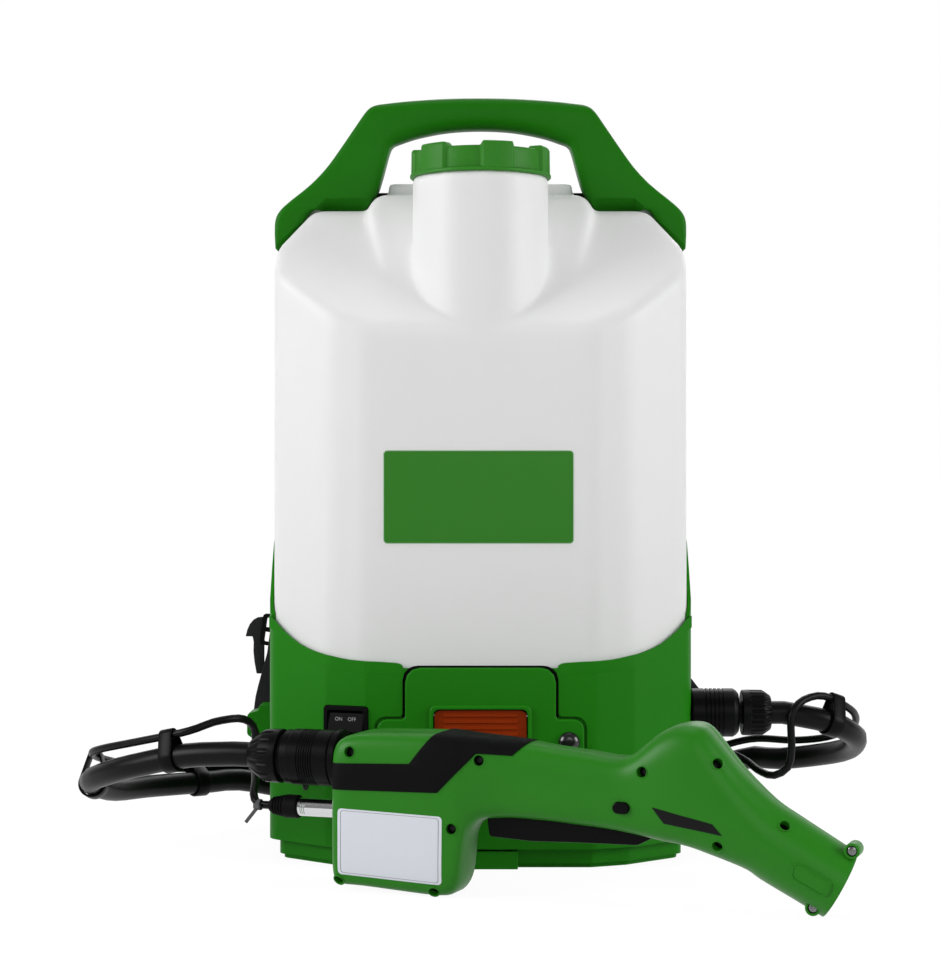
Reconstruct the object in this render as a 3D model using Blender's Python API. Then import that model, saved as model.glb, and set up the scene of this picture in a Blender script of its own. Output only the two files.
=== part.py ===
"""A battery backpack sprayer, at its real size, in metres.

A white blow-moulded tank stands in a green base. The base holds the pump, the battery and the
controls, and carries a back frame with the harness. A hose and a thin cable run from the base's
right side, round behind it, to a spray handle that stands on the floor in front.

+Z is up, the front of the sprayer faces -Y, and the origin is on the floor under the base.
"""

import math

import bmesh
import bpy
from mathutils import Matrix, Vector

# ---------------------------------------------------------------------------------------------
# Clearances
SEAT = 0.0003            # between two faces that rest on each other
FIT = 0.0006             # between a piece and the opening that it passes through
SLIDE = 0.0009           # round a piece that moves in an opening
OVERCUT = 0.004          # how far a cutting shape runs past the wall that it cuts

# Base
BASE_WIDTH = 0.2965
BASE_DEPTH = 0.166
BASE_FRONT = -0.085
BASE_WALL = 0.0025
FRONT_FLAT = 0.156       # the flat middle of the front
FACET_END = 0.106        # half width at the end of the slightly turned facet beside it
FACET_DEPTH = 0.0115     # how far back the facet falls
CHAMFER_DEPTH = 0.047    # how far back the broad corner chamfer ends
SKIRT_BOTTOM = 0.0032
SKIRT_HEIGHT = 0.0108
SKIRT_INSET = 0.0072
RIM_FRONT = 0.1405       # height of the cup's rim at the front
RIM_RISE = 0.090         # how much higher the rim is beside the tank
RIM_START = -0.075       # where along Y the rim starts to rise, and where it is full height
RIM_END = 0.022
DECK_TOP = 0.118
DECK_THICKNESS = 0.0035
REAR_WINDOW_WIDTH = 0.250
REAR_WINDOW_SILL = 0.152
PLATE_THICKNESS = 0.0045
TOE_WIDTH = 0.051

# Front panel and tank release
PANEL_STEM_WIDTH = 0.1026
PANEL_TOP = 0.1375
PANEL_EAR_WIDTH = 0.141
PANEL_EAR_TOP = 0.1025
PANEL_BOTTOM = 0.050
PANEL_THICKNESS = 0.0040
PANEL_PROUD = 0.0018     # how far the panel stands out of the base
PANEL_GROOVE = 0.0018
FLANGE_MARGIN = 0.0045
LATCH_WIDTH = 0.0626
LATCH_TOP = 0.1087
LATCH_HEIGHT = 0.0345
LATCH_RIBS = 7
LATCH_ARM_WIDTH = 0.030
LATCH_NOSE_TOP = 0.1325
LATCH_PIVOT_DROP = 0.0045
PIVOT_SETBACK = 0.0062   # of the latch's pin behind the panel
LIP_WIDTH = 0.0034
LIP_PROUD = 0.0021
PORT_X = 0.0602
PORT_Z = 0.0870
PORT_RADIUS = 0.0074

# Power switch
ROCKER_Z = 0.0995
BEZEL_WIDTH = 0.0330
BEZEL_HEIGHT = 0.0230
BEZEL_DEPTH = 0.0090
BEZEL_FRAME = 0.0030
BEZEL_PROUD = 0.0012
ROCKER_SWEEP = 0.0016    # left above and below the rocker for its turn

# Tank
CUP_GAP = 0.0006         # between the tank and the cup of the base
TANK_DEPTH = 0.125
TANK_HEIGHT = 0.3416
TANK_WALL = 0.0030
FACE_HEIGHT = 0.2530     # of the upright front face, from the tank's foot
SLOPE_RUN = 0.0932       # depth over which the shoulder climbs from the face to the top
CUT_DROP = 0.0320        # the cut top corners
CUT_RUN = 0.0245
TANK_ROUND = 0.0090
NECK_RADIUS = 0.0475
NECK_SETBACK = 0.0477    # of the neck's axis behind the tank's front
NECK_HEIGHT = 0.0160     # of the broad neck above the flat top
MOUTH_RADIUS = 0.0440
MOUTH_HEIGHT = 0.0136
MOUTH_WALL = 0.0032
BULGE_RISE = 0.0070      # the raised apron round the neck
BULGE_ROUND = 0.0042
BULGE_TOP_WIDTH = 0.144
BULGE_FOOT_WIDTH = 0.165
BULGE_LOW_WIDTH = 0.096
BULGE_DROP = 0.060       # how far down the slope the apron runs out
LEDGE_WIDTH = 0.134
LEDGE_DEPTH = 0.0150
LEDGE_RISE = 0.0215
POCKET_WIDTH = 0.074     # recess in the tank's foot for the latch
POCKET_HEIGHT = 0.0185
POCKET_DEPTH = 0.0125
CATCH_DEPTH = 0.0045
OUTLET_Y = -0.015        # the tank's outlet valve
OUTLET_HOLE = 0.0118
VALVE_TRAVEL = 0.0040
VALVE_RISE = 0.0110

# Cap
CAP_RADIUS = 0.0495
CAP_LOBES = 6
CAP_LOBE_DEPTH = 0.0026
CAP_LOBE_RISE = 0.0030
CAP_HEIGHT = 0.0178
CAP_FLANGE = 0.0026
GASKET_THICKNESS = 0.0009
CAP_STEPS = 60

# Carry handle
HANDLE_DEPTH = 0.0270
HANDLE_BACK = 0.0450     # Y of the handle's back face
HANDLE_BAR_RISE = 0.0835  # top of the bar above the tank's flat top
HANDLE_SQUARENESS = 3.4

# Back frame and harness
FRAME_WIDTH = 0.236
FRAME_TOP = 0.4770
FRAME_WALL = 0.0032
FRAME_FRONT = 0.0490
STRAP_WIDTH = 0.050
STRAP_THICKNESS = 0.0120
WEB_WIDTH = 0.0200
WEB_THICKNESS = 0.0018
BACK_PAD_WIDTH = 0.205
BACK_PAD_LOW = 0.165
BACK_PAD_HIGH = 0.430
BACK_PAD_THICKNESS = 0.0240
ANCHOR_REACH = 0.0240
ANCHOR_SETBACK = 0.0180  # of the anchor's middle before the base's back
ANCHOR_DEPTH = 0.0260
ANCHOR_LOW = 0.0700
ANCHOR_HIGH = 0.0985

# Pump, battery and board
PUMP_Y = 0.030
PUMP_Z = 0.034
PUMP_SPLIT = -0.0165     # X of the joint between motor and pump head
MOTOR_LENGTH = 0.058
MOTOR_RADIUS = 0.0180
MOTOR_WALL = 0.0015
HEAD_LENGTH = 0.0370
HEAD_SIZE = 0.0420
NIPPLE_RADIUS = 0.0040
NIPPLE_LENGTH = 0.0080
PIPE_RADIUS = 0.0040
BATTERY = (0.094, 0.046, 0.062)
BATTERY_CORNER = (0.034, 0.0130)
BOARD = (0.060, 0.050, 0.0016)
BOARD_GAPS = (0.0362, 0.0400)   # from the base's left side and from its front
RELAY = (0.018, 0.015, 0.014)
TERMINALS = (0.040, 0.007, 0.009)
CAPACITOR = (0.005, 0.016)
BOARD_HEIGHT = 0.0200

# Outlet and hose
OUTLET_PIPE_Y = -0.020
OUTLET_PIPE_Z = 0.1005
BARREL_RADIUS = 0.0152
BARREL_LENGTH = 0.0320
NUT_RADIUS = 0.0167
NUT_LENGTH = 0.0198
NUT_RIBS = 16
SPIGOT_RADIUS = 0.0082
BORE_RADIUS = 0.0040
NECK_GROOVE = 0.0050
HOSE_DIAMETER = 0.0165
CABLE_DIAMETER = 0.0055
GLAND_Y = 0.004
GLAND_Z = 0.070
GLAND_LENGTH = 0.0230
CLIP_WIDTH = 0.0090
CLIP_SLACK = 0.0030      # round the cable in a clip
CLIP_THICKNESS = 0.0012

# Spray handle, in its own frame: X runs from its rear to its muzzle, -Y is its near side
GUN_PLACE = (-0.0975, -0.1405, 0.0)
GUN_TURN = math.radians(-19.4)
GUN_WALL = 0.0025
GUN_SEAM = 0.00015       # half the gap between the two half shells
GRIP_PROUD = 0.0006
GRIP_THICKNESS = 0.0016
SWIVEL_Z = 0.0830
SWIVEL_RADIUS = 0.0196
SWIVEL_LENGTH = 0.0357
COLLAR_LENGTH = 0.0046
GUN_NUT_RADIUS = 0.0165
GUN_NUT_LENGTH = 0.0193
PLUG_Z = 0.0500
PLUG_RADIUS = 0.0060
PLUG_LENGTH = 0.0265
BOOT_LENGTH = 0.0230
MUZZLE_END = (0.3350, 0.0198)
MUZZLE_SLOPE = math.radians(29.5)
MUZZLE_RADIUS = 0.0222
MUZZLE_LENGTH = 0.042
MUZZLE_FLARE = 0.0010
MUZZLE_BULGE = 0.0045
LUG_RADIUS = 0.0048
LUG_REACH = 0.0125
TRIGGER_PIVOT = (0.2160, 0.0505)
TRIGGER_WIDTH = 0.0130
TRIGGER_PIN_RADIUS = 0.0020
TRIGGER_PIN_LENGTH = 0.0300
TRIGGER_SLOT = (0.1062, 0.2240)
LOCK_PLACE = (0.2025, 0.0625)
LOCK_SIZE = (0.0106, 0.0070)
LOCK_LENGTH = 0.0440
SWITCH_LOW = (0.1500, 0.0620)
SWITCH_SIZE = (0.0220, 0.0110)
SWITCH_HALF = 0.0100
HOLDER_SETBACK = 0.0110
HOLDER_LENGTH = 0.0120
DIAL_RADIUS = 0.0140
DIAL_LENGTH = 0.0060

# ---------------------------------------------------------------------------------------------
# Places that follow from the sizes
BASE_BACK = BASE_FRONT + BASE_DEPTH
BASE_SIDE = BASE_WIDTH / 2
SKIRT_TOP = SKIRT_BOTTOM + SKIRT_HEIGHT
DECK_BOTTOM = DECK_TOP - DECK_THICKNESS
POST_TOP = DECK_BOTTOM - 0.0084
PUMP_INLET = (PUMP_SPLIT + 0.0100, PUMP_Y - 0.0080)
PUMP_OUTLET = (PUMP_SPLIT + 0.0260, PUMP_Y + 0.0080)
TANK_FRONT = BASE_FRONT + BASE_WALL + CUP_GAP
TANK_BACK = TANK_FRONT + TANK_DEPTH
TANK_SIDE = BASE_SIDE - BASE_WALL - CUP_GAP
TANK_FOOT = DECK_TOP + SEAT
TANK_TOP = TANK_FOOT + TANK_HEIGHT
FACE_TOP = TANK_FOOT + FACE_HEIGHT
NECK_Y = TANK_FRONT + NECK_SETBACK
NECK_TOP = TANK_TOP + NECK_HEIGHT
MOUTH_TOP = NECK_TOP + MOUTH_HEIGHT
CAP_BOTTOM = NECK_TOP + FIT
CAP_TOP = CAP_BOTTOM + CAP_HEIGHT
BOARD_CORNER = (BOARD_GAPS[0] - BASE_SIDE, BASE_FRONT + BOARD_GAPS[1])
PANEL_FRONT = BASE_FRONT - PANEL_PROUD
PANEL_BACK = PANEL_FRONT + PANEL_THICKNESS
FLANGE_FRONT = BASE_FRONT + BASE_WALL + SEAT
FLANGE_BACK = FLANGE_FRONT + 0.0020
LATCH_PIVOT_Y = PANEL_BACK + PIVOT_SETBACK
LATCH_PIVOT_Z = LATCH_TOP - LATCH_PIVOT_DROP
LATCH_PIN_RADIUS = 0.0015
PLATE_TOP = PLATE_THICKNESS
FRAME_BACK = BASE_BACK - BASE_WALL - SEAT
PAD_FRONT = FRAME_BACK + SEAT
ANCHOR_Y = BASE_BACK - ANCHOR_SETBACK
BARREL_START = BASE_SIDE + SEAT
NUT_START = BARREL_START + BARREL_LENGTH + NECK_GROOVE
NUT_END = NUT_START + NUT_LENGTH
COLLAR_START = -COLLAR_LENGTH - SEAT
SWIVEL_START = COLLAR_START - SEAT - SWIVEL_LENGTH
GUN_NUT_START = SWIVEL_START - SEAT - GUN_NUT_LENGTH
PLUG_END = 0.0020
PLUG_START = PLUG_END - PLUG_LENGTH - SEAT
BOOT_START = PLUG_START - SEAT - BOOT_LENGTH
MUZZLE_AXIS = Vector((math.cos(MUZZLE_SLOPE), 0.0, -math.sin(MUZZLE_SLOPE)))
MUZZLE_UP = Vector((math.sin(MUZZLE_SLOPE), 0.0, math.cos(MUZZLE_SLOPE)))


# ---------------------------------------------------------------------------------------------
# Tools for outlines, skins and round solids


def clear_scene():
    for old in list(bpy.data.objects):
        bpy.data.objects.remove(old)


def paint(name, colour, roughness, metallic=0.0):
    """A plain material: linear colour, roughness and metallic value."""
    made = bpy.data.materials.new(name)
    made.use_nodes = True
    shader = made.node_tree.nodes["Principled BSDF"]
    shader.inputs["Base Color"].default_value = (*colour, 1.0)
    shader.inputs["Roughness"].default_value = roughness
    shader.inputs["Metallic"].default_value = metallic
    made.diffuse_color = (*colour, 1.0)
    return made


def finish(name, bm, finish_paint=None, sharp=38.0):
    """Turns a bmesh into an object with its faces outwards and its round sides smooth."""
    bmesh.ops.recalc_face_normals(bm, faces=bm.faces[:])
    mesh = bpy.data.meshes.new(name)
    bm.to_mesh(mesh)
    bm.free()
    made = bpy.data.objects.new(name, mesh)
    bpy.context.scene.collection.objects.link(made)
    shade(made, sharp)
    if finish_paint:
        mesh.materials.append(finish_paint)
    return made


def shade(made, sharp=38.0):
    made.data.shade_smooth()
    made.data.set_sharp_from_angle(angle=math.radians(sharp))


def settle(made):
    """Replaces an object's mesh by what its modifiers make of it."""
    graph = bpy.context.evaluated_depsgraph_get()
    mesh = bpy.data.meshes.new_from_object(made.evaluated_get(graph))
    materials = list(made.data.materials)
    made.modifiers.clear()
    made.data = mesh
    mesh.materials.clear()
    for each in materials:
        mesh.materials.append(each)
    shade(made)


def combine(made, tools, operation):
    """Cuts, joins or intersects an object with other shapes, which are used up."""
    for tool in tools:
        change = made.modifiers.new(operation.title(), "BOOLEAN")
        change.operation = operation
        change.solver = "EXACT"
        change.object = tool
        settle(made)
        bpy.data.objects.remove(tool)
    return made


def cut(made, *tools):
    return combine(made, tools, "DIFFERENCE")


def fuse(made, *tools):
    return combine(made, tools, "UNION")


def hinge_at(made, point):
    """Moves an object's origin to a point on its joint's axis, and leaves its shape in place."""
    made.data.transform(Matrix.Translation(-Vector(point)))
    made.location = made.location + Vector(point)


def at(u, v, w, axis):
    """A point from two values across an axis and one along it."""
    return Vector({"X": (w, u, v), "Y": (u, w, v), "Z": (u, v, w)}[axis])


def rounded(corners, steps=3):
    """A closed outline whose corners (u, v, radius) are rounded by arcs."""
    points = []
    for i, (u, v, radius) in enumerate(corners):
        here = Vector((u, v))
        if radius <= 0.0:
            points.append(here)
            continue
        before = (Vector(corners[i - 1][:2]) - here).normalized()
        after = (Vector(corners[(i + 1) % len(corners)][:2]) - here).normalized()
        half = before.angle(after) / 2
        centre = here + (before + after).normalized() * radius / math.sin(half)
        start = here + before * radius / math.tan(half) - centre
        end = here + after * radius / math.tan(half) - centre
        spread = start.angle(end)
        for k in range(steps + 1):
            share = k / steps
            near = start * math.sin((1 - share) * spread) + end * math.sin(share * spread)
            points.append(centre + near / math.sin(spread))
    return points


def rectangle(u0, v0, u1, v1, radius=0.0, steps=3):
    corners = [(u0, v0, radius), (u1, v0, radius), (u1, v1, radius), (u0, v1, radius)]
    return rounded(corners, steps)


def drawn_in(corners, inset):
    """The corners of a convex, anticlockwise outline after its sides move inwards."""
    moved = []
    for i, (u, v, radius) in enumerate(corners):
        here = Vector((u, v))
        into = (here - Vector(corners[i - 1][:2])).normalized()
        out = (Vector(corners[(i + 1) % len(corners)][:2]) - here).normalized()
        left_in, left_out = Vector((-into.y, into.x)), Vector((-out.y, out.x))
        shift = (left_in + left_out) * inset / (1 + left_in.dot(left_out))
        new_radius = max(radius - inset, 0.0005) if radius > 0 else 0.0
        moved.append((u + shift.x, v + shift.y, new_radius))
    return moved


def skin(rings, closed=False):
    """A skin over rings of points. Its ends are capped, or the last ring joins the first."""
    bm = bmesh.new()
    rows = [[bm.verts.new(point) for point in ring] for ring in rings]
    if closed:
        rows.append(rows[0])
    for low, high in zip(rows, rows[1:]):
        for i in range(len(low)):
            j = (i + 1) % len(low)
            bm.faces.new((low[i], low[j], high[j], high[i]))
    if not closed:
        bm.faces.new(rows[0][::-1])
        bm.faces.new(rows[-1])
    return bm


def prism(outline, low, high, axis="Z"):
    """A flat outline pushed out along an axis."""
    return skin([[at(u, v, w, axis) for u, v in outline] for w in (low, high)])


def ring_prism(outer, inner, low, high, axis="Z"):
    """A frame: an outline with a like outline cut out of it, pushed out along an axis."""
    rings = [(outer, low), (outer, high), (inner, high), (inner, low)]
    return skin([[at(u, v, w, axis) for u, v in line] for line, w in rings], closed=True)


def turned(profile, centre=(0.0, 0.0), axis="X", steps=24, closed=False, flutes=(0, 0.0, 0.0)):
    """A round solid about an axis, from (along, radius) points.

    Flutes are their number, their depth, and the radius above which the wall has them.
    """
    count, depth, above = flutes
    rings = []
    for along, radius in profile:
        ring = []
        for k in range(steps):
            angle = 2 * math.pi * k / steps
            fluted = radius > above and (k * 2 * count // steps) % 2
            reach = radius - (depth if fluted else 0.0)
            ring.append(at(centre[0] + reach * math.cos(angle),
                           centre[1] + reach * math.sin(angle), along, axis))
        rings.append(ring)
    return skin(rings, closed)


def rod(name, radius, low, high, centre, axis, finish_paint=None, steps=20):
    return finish(name, turned([(low, radius), (high, radius)], centre, axis, steps), finish_paint)


def soften(bm, size, segments=2, sharper_than=50.0):
    """Rounds the edges of a bmesh that are sharper than an angle."""
    bmesh.ops.recalc_face_normals(bm, faces=bm.faces[:])
    limit = math.radians(sharper_than)
    edges = [e for e in bm.edges if e.is_manifold and e.calc_face_angle(0.0) > limit]
    bmesh.ops.bevel(bm, geom=edges, offset=size, segments=segments, profile=0.5,
                    affect="EDGES", clamp_overlap=True)
    return bm


def block(name, low, high, finish_paint=None, edge=0.0, segments=2):
    """A box between two corners, with rounded edges if an edge size is given."""
    bm = prism(rectangle(low[0], low[1], high[0], high[1]), low[2], high[2])
    if edge > 0:
        soften(bm, edge, segments)
    return finish(name, bm, finish_paint)


def bounded(low, high, planes):
    """A convex bmesh: a box cut back to planes, each a point and an outward normal."""
    bm = prism(rectangle(low[0], low[1], high[0], high[1]), low[2], high[2])
    for point, normal in planes:
        sliced = bmesh.ops.bisect_plane(bm, geom=bm.verts[:] + bm.edges[:] + bm.faces[:],
                                        plane_co=point, plane_no=normal, clear_outer=True)
        edges = [g for g in sliced["geom_cut"] if isinstance(g, bmesh.types.BMEdge)]
        if edges:
            bmesh.ops.edgenet_fill(bm, edges=edges)
    bmesh.ops.remove_doubles(bm, verts=bm.verts[:], dist=0.00005)
    return bm


def smooth_line(points, spacing):
    """Points about a spacing apart on a smooth curve through the given points."""
    knots = [Vector(p) for p in points]
    ends = [2 * knots[0] - knots[1], *knots, 2 * knots[-1] - knots[-2]]
    dense = [knots[0]]
    for a, b, c, d in zip(ends, ends[1:], ends[2:], ends[3:]):
        for k in range(1, 25):
            t = k / 24
            dense.append(0.5 * (2 * b + (c - a) * t + (2 * a - 5 * b + 4 * c - d) * t ** 2
                                + (3 * b - a - 3 * c + d) * t ** 3))
    length = sum((q - p).length for p, q in zip(dense, dense[1:]))
    count = max(2, round(length / spacing))
    line, walked, next_stop = [dense[0]], 0.0, length / count
    for p, q in zip(dense, dense[1:]):
        step = (q - p).length
        while step > 0 and walked + step >= next_stop and len(line) < count:
            line.append(p.lerp(q, (next_stop - walked) / step))
            next_stop += length / count
        walked += step
    return [*line, dense[-1]]


def tube(name, points, radius, finish_paint, resolution=2):
    """A round bar along a line of points, as a curve object with filled caps."""
    curve = bpy.data.curves.new(name, "CURVE")
    curve.dimensions = "3D"
    curve.bevel_depth = radius
    curve.bevel_resolution = resolution
    curve.use_fill_caps = True
    spline = curve.splines.new("POLY")
    spline.points.add(len(points) - 1)
    for knot, point in zip(spline.points, points):
        knot.co = (*point, 1.0)
    made = bpy.data.objects.new(name, curve)
    bpy.context.scene.collection.objects.link(made)
    curve.materials.append(finish_paint)
    return made


def coil_points(radius, low, high, turns, centre, axis, per_turn=12):
    """The middle line of a coil spring about an axis."""
    count = round(turns * per_turn)
    return [at(centre[0] + radius * math.cos(2 * math.pi * k / per_turn),
               centre[1] + radius * math.sin(2 * math.pi * k / per_turn),
               low + (high - low) * k / count, axis) for k in range(count + 1)]


def band(name, points, width, thickness, finish_paint, across=(1.0, 0.0, 0.0), edge=0.0):
    """A flat strap along a line. Its width lies along the across direction."""
    line = [Vector(p) for p in points]
    rings = []
    for i, point in enumerate(line):
        along = (line[min(i + 1, len(line) - 1)] - line[max(i - 1, 0)]).normalized()
        wide = Vector(across)
        wide = (wide - along * wide.dot(along)).normalized() * width / 2
        thick = along.cross(wide).normalized() * thickness / 2
        flat = wide * (1 - edge)
        rings.append([point - wide, point - flat + thick, point + flat + thick, point + wide,
                      point + flat - thick, point - flat - thick] if edge else
                     [point - wide - thick, point - wide + thick, point + wide + thick,
                      point + wide - thick])
    return finish(name, skin(rings), finish_paint)


def rib_shares(squareness, steps, half):
    """The shape of a rib: shares of its height, and of its swell to the side."""
    turn = math.pi if half else 2 * math.pi
    count = steps + 1 if half else 2 * steps
    shape = []
    for k in range(count):
        angle = turn * k / (steps if half else 2 * steps)
        c, s = math.cos(angle), math.sin(angle)
        rise = math.copysign(abs(c) ** (2 / squareness), c)
        swell = math.copysign(abs(s) ** (2 / squareness), s)
        shape.append(((1 - rise) / 2, swell if abs(swell) > 1e-9 else 0.0))
    return shape


def ribbed(ribs, inset=0.0, side=0, seam=0.0, middle=0.0, steps=8):
    """A skin over ribs in the X-Z plane that swell along Y.

    A rib is (low point, high point, swell, squareness, bulge along X and Z). Side -1 or 1 makes
    the half on that side of the middle, which stops short of it by the seam.
    """
    rings = []
    for low, high, swell, squareness, bulge in ribs:
        low, high = Vector(low), Vector(high)
        inwards = (high - low).normalized() * inset
        low, high = low + inwards, high - inwards
        reach = swell - inset
        ring = []
        for rise, out in rib_shares(squareness, steps, half=side != 0):
            point = low.lerp(high, rise) + Vector(bulge) * abs(out)
            offset = side * (seam + (reach - seam) * out) if side else reach * out
            ring.append((point.x, middle + offset, point.y))
        rings.append(ring)
    return skin(rings)


# ---------------------------------------------------------------------------------------------
# Base


def base_corners(inset=0.0):
    """The base's plan outline, anticlockwise from the front left."""
    flat, side, back = FRONT_FLAT / 2, BASE_SIDE, BASE_BACK
    facet, chamfer = BASE_FRONT + FACET_DEPTH, BASE_FRONT + CHAMFER_DEPTH
    right = [(flat, BASE_FRONT, 0.012), (FACET_END, facet, 0.014), (side, chamfer, 0.018),
             (side, back, 0.016)]
    left = [(-x, y, radius) for x, y, radius in reversed(right)]
    return drawn_in(left[1:] + right + left[:1], inset) if inset else left[1:] + right + left[:1]


def base_plan(inset=0.0, runs=6):
    """The plan outline with its long sides divided, so that its rim can rise along them."""
    line = rounded(base_corners(inset))
    divided = []
    for i, point in enumerate(line):
        after = line[(i + 1) % len(line)]
        parts = runs if abs((after - point).y) > 0.020 else 1
        divided += [point.lerp(after, k / parts) for k in range(parts)]
    return divided


def rim_height(y):
    """The cup's rim is low at the front and climbs beside the tank."""
    share = min(max((y - RIM_START) / (RIM_END - RIM_START), 0.0), 1.0)
    return RIM_FRONT + RIM_RISE * share ** 2 * (3 - 2 * share)


def panel_outline(grow):
    """The T of the front panel, or of the opening round it when it is grown by the groove."""
    stem, ear = PANEL_STEM_WIDTH / 2 + grow, PANEL_EAR_WIDTH / 2 + grow
    top, ear_top, low = PANEL_TOP + grow, PANEL_EAR_TOP + grow, PANEL_BOTTOM - grow
    return rounded([(-ear, low, 0.004), (ear, low, 0.004), (ear, ear_top, 0.007),
                    (stem, ear_top, 0.0025), (stem, top, 0.010), (-stem, top, 0.010),
                    (-stem, ear_top, 0.0025), (-ear, ear_top, 0.007)])


def latch_window(grow):
    half = LATCH_WIDTH / 2 + grow
    return rectangle(-half, LATCH_TOP - LATCH_HEIGHT - grow * 2.6, half, LATCH_TOP + grow, 0.004)


def facet_frame():
    """The place of the power switch: the middle of the left facet, turned to face out of it."""
    left = Vector((-FACET_END, BASE_FRONT + FACET_DEPTH, ROCKER_Z))
    right = Vector((-FRONT_FLAT / 2, BASE_FRONT, ROCKER_Z))
    turn = math.atan2(right.y - left.y, right.x - left.x)
    return Matrix.Translation((left + right) / 2) @ Matrix.Rotation(turn, 4, "Z")


def make_base_shell(green):
    """The bucket: skirt, cup wall with its rising rim, and the deck that the tank stands on."""
    step = 0.0012
    outside = [(SKIRT_INSET, SKIRT_BOTTOM), (SKIRT_INSET, SKIRT_TOP - step), (0.0, SKIRT_TOP)]
    inside = [(BASE_WALL, SKIRT_TOP + BASE_WALL),
              (SKIRT_INSET + BASE_WALL, SKIRT_TOP + BASE_WALL - step),
              (SKIRT_INSET + BASE_WALL, SKIRT_BOTTOM)]
    rings = [[(p.x, p.y, z) for p in base_plan(inset)] for inset, z in outside]
    for inset in (0.0, BASE_WALL):
        rings.append([(p.x, p.y, rim_height(p.y)) for p in base_plan(inset)])
    rings += [[(p.x, p.y, z) for p in base_plan(inset)] for inset, z in inside]
    shell = finish("base_shell", skin(rings, closed=True), green)
    deck = finish("deck", prism(base_plan(BASE_WALL / 2), DECK_BOTTOM, DECK_TOP))
    fuse(shell, deck)

    wall_in = BASE_FRONT - OVERCUT, BASE_FRONT + BASE_WALL + 0.0065
    notch = finish("notch", prism(panel_outline(PANEL_GROOVE), *wall_in, "Y"))
    arm = LATCH_ARM_WIDTH / 2 + 0.003
    latch_slot = block("slot", (-arm, BASE_FRONT, DECK_BOTTOM - OVERCUT),
                       (arm, LATCH_PIVOT_Y + 0.0095, DECK_TOP + OVERCUT))
    socket = rod("socket_hole", OUTLET_HOLE + 2 * FIT, DECK_BOTTOM - OVERCUT,
                 DECK_TOP + OVERCUT, (0.0, OUTLET_Y), "Z")
    pipe = rod("pipe_hole", SPIGOT_RADIUS + FIT / 2, BASE_SIDE - 2 * OVERCUT,
               BASE_SIDE + OVERCUT, (OUTLET_PIPE_Y, OUTLET_PIPE_Z), "X")
    gland = rod("gland_hole", 0.0050 + FIT / 2, BASE_SIDE - 2 * OVERCUT, BASE_SIDE + OVERCUT,
                (GLAND_Y, GLAND_Z), "X")
    half = REAR_WINDOW_WIDTH / 2
    window = finish("window", prism(rectangle(-half, REAR_WINDOW_SILL, half, 0.40, 0.012),
                                    BASE_BACK - 3 * OVERCUT, BASE_BACK + OVERCUT, "Y"))
    width, height = BEZEL_WIDTH / 2 + FIT / 2, BEZEL_HEIGHT / 2 + FIT / 2
    switch = finish("switch_hole", prism(rectangle(-width, -height, width, height, 0.0025),
                                         -3 * OVERCUT, BEZEL_DEPTH + OVERCUT, "Y"))
    switch.data.transform(facet_frame())
    return cut(shell, notch, latch_slot, socket, pipe, gland, window, switch)


def make_base_plate(green):
    """The tray that closes the base, with the cradles and posts of what stands on it."""
    lower = drawn_in(base_corners(), SKIRT_INSET + BASE_WALL + FIT)
    plate = finish("base_plate", prism(rounded(lower), 0.0, PLATE_TOP), green)
    toe = TOE_WIDTH / 2
    tongue = block("toe", (-toe, BASE_FRONT + 0.0018, 0.0),
                   (toe, BASE_FRONT + SKIRT_INSET + 0.008, SKIRT_BOTTOM - SEAT))
    kerb = block("kerb", (-toe, BASE_FRONT + 0.0018, 0.0),
                 (toe, BASE_FRONT + SKIRT_INSET - SEAT, SKIRT_TOP - 0.0016))
    lift = PLATE_TOP - 0.001
    parts = [tongue, kerb]
    for x in (PUMP_SPLIT - 0.012, PUMP_SPLIT - MOTOR_LENGTH + 0.012):
        cradle = block("cradle", (x - 0.002, PUMP_Y - 0.015, lift),
                       (x + 0.002, PUMP_Y + 0.015, PUMP_Z - 0.004))
        bed = rod("bed", MOTOR_RADIUS + FIT, x - 0.003, x + 0.003, (PUMP_Y, PUMP_Z), "X")
        parts.append(cut(cradle, bed))
    head_low = PUMP_Z - HEAD_SIZE / 2
    parts.append(block("pad", (PUMP_SPLIT + 0.006, PUMP_Y - 0.014, lift),
                       (PUMP_SPLIT + HEAD_LENGTH - 0.006, PUMP_Y + 0.014, head_low - SEAT)))
    x0, y0 = BATTERY_CORNER
    for x in (x0 + 0.006, x0 + BATTERY[0] - 0.010):
        parts.append(block("rail", (x, y0, lift), (x + 0.004, y0 + BATTERY[1], 0.0075)))
    x0, y0 = BOARD_CORNER
    for x in (x0 + 0.006, x0 + BOARD[0] - 0.006):
        for y in (y0 + 0.006, y0 + BOARD[1] - 0.006):
            parts.append(rod("post", 0.0025, lift, BOARD_HEIGHT - SEAT, (x, y), "Z", steps=10))
    return fuse(plate, *parts)


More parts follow.
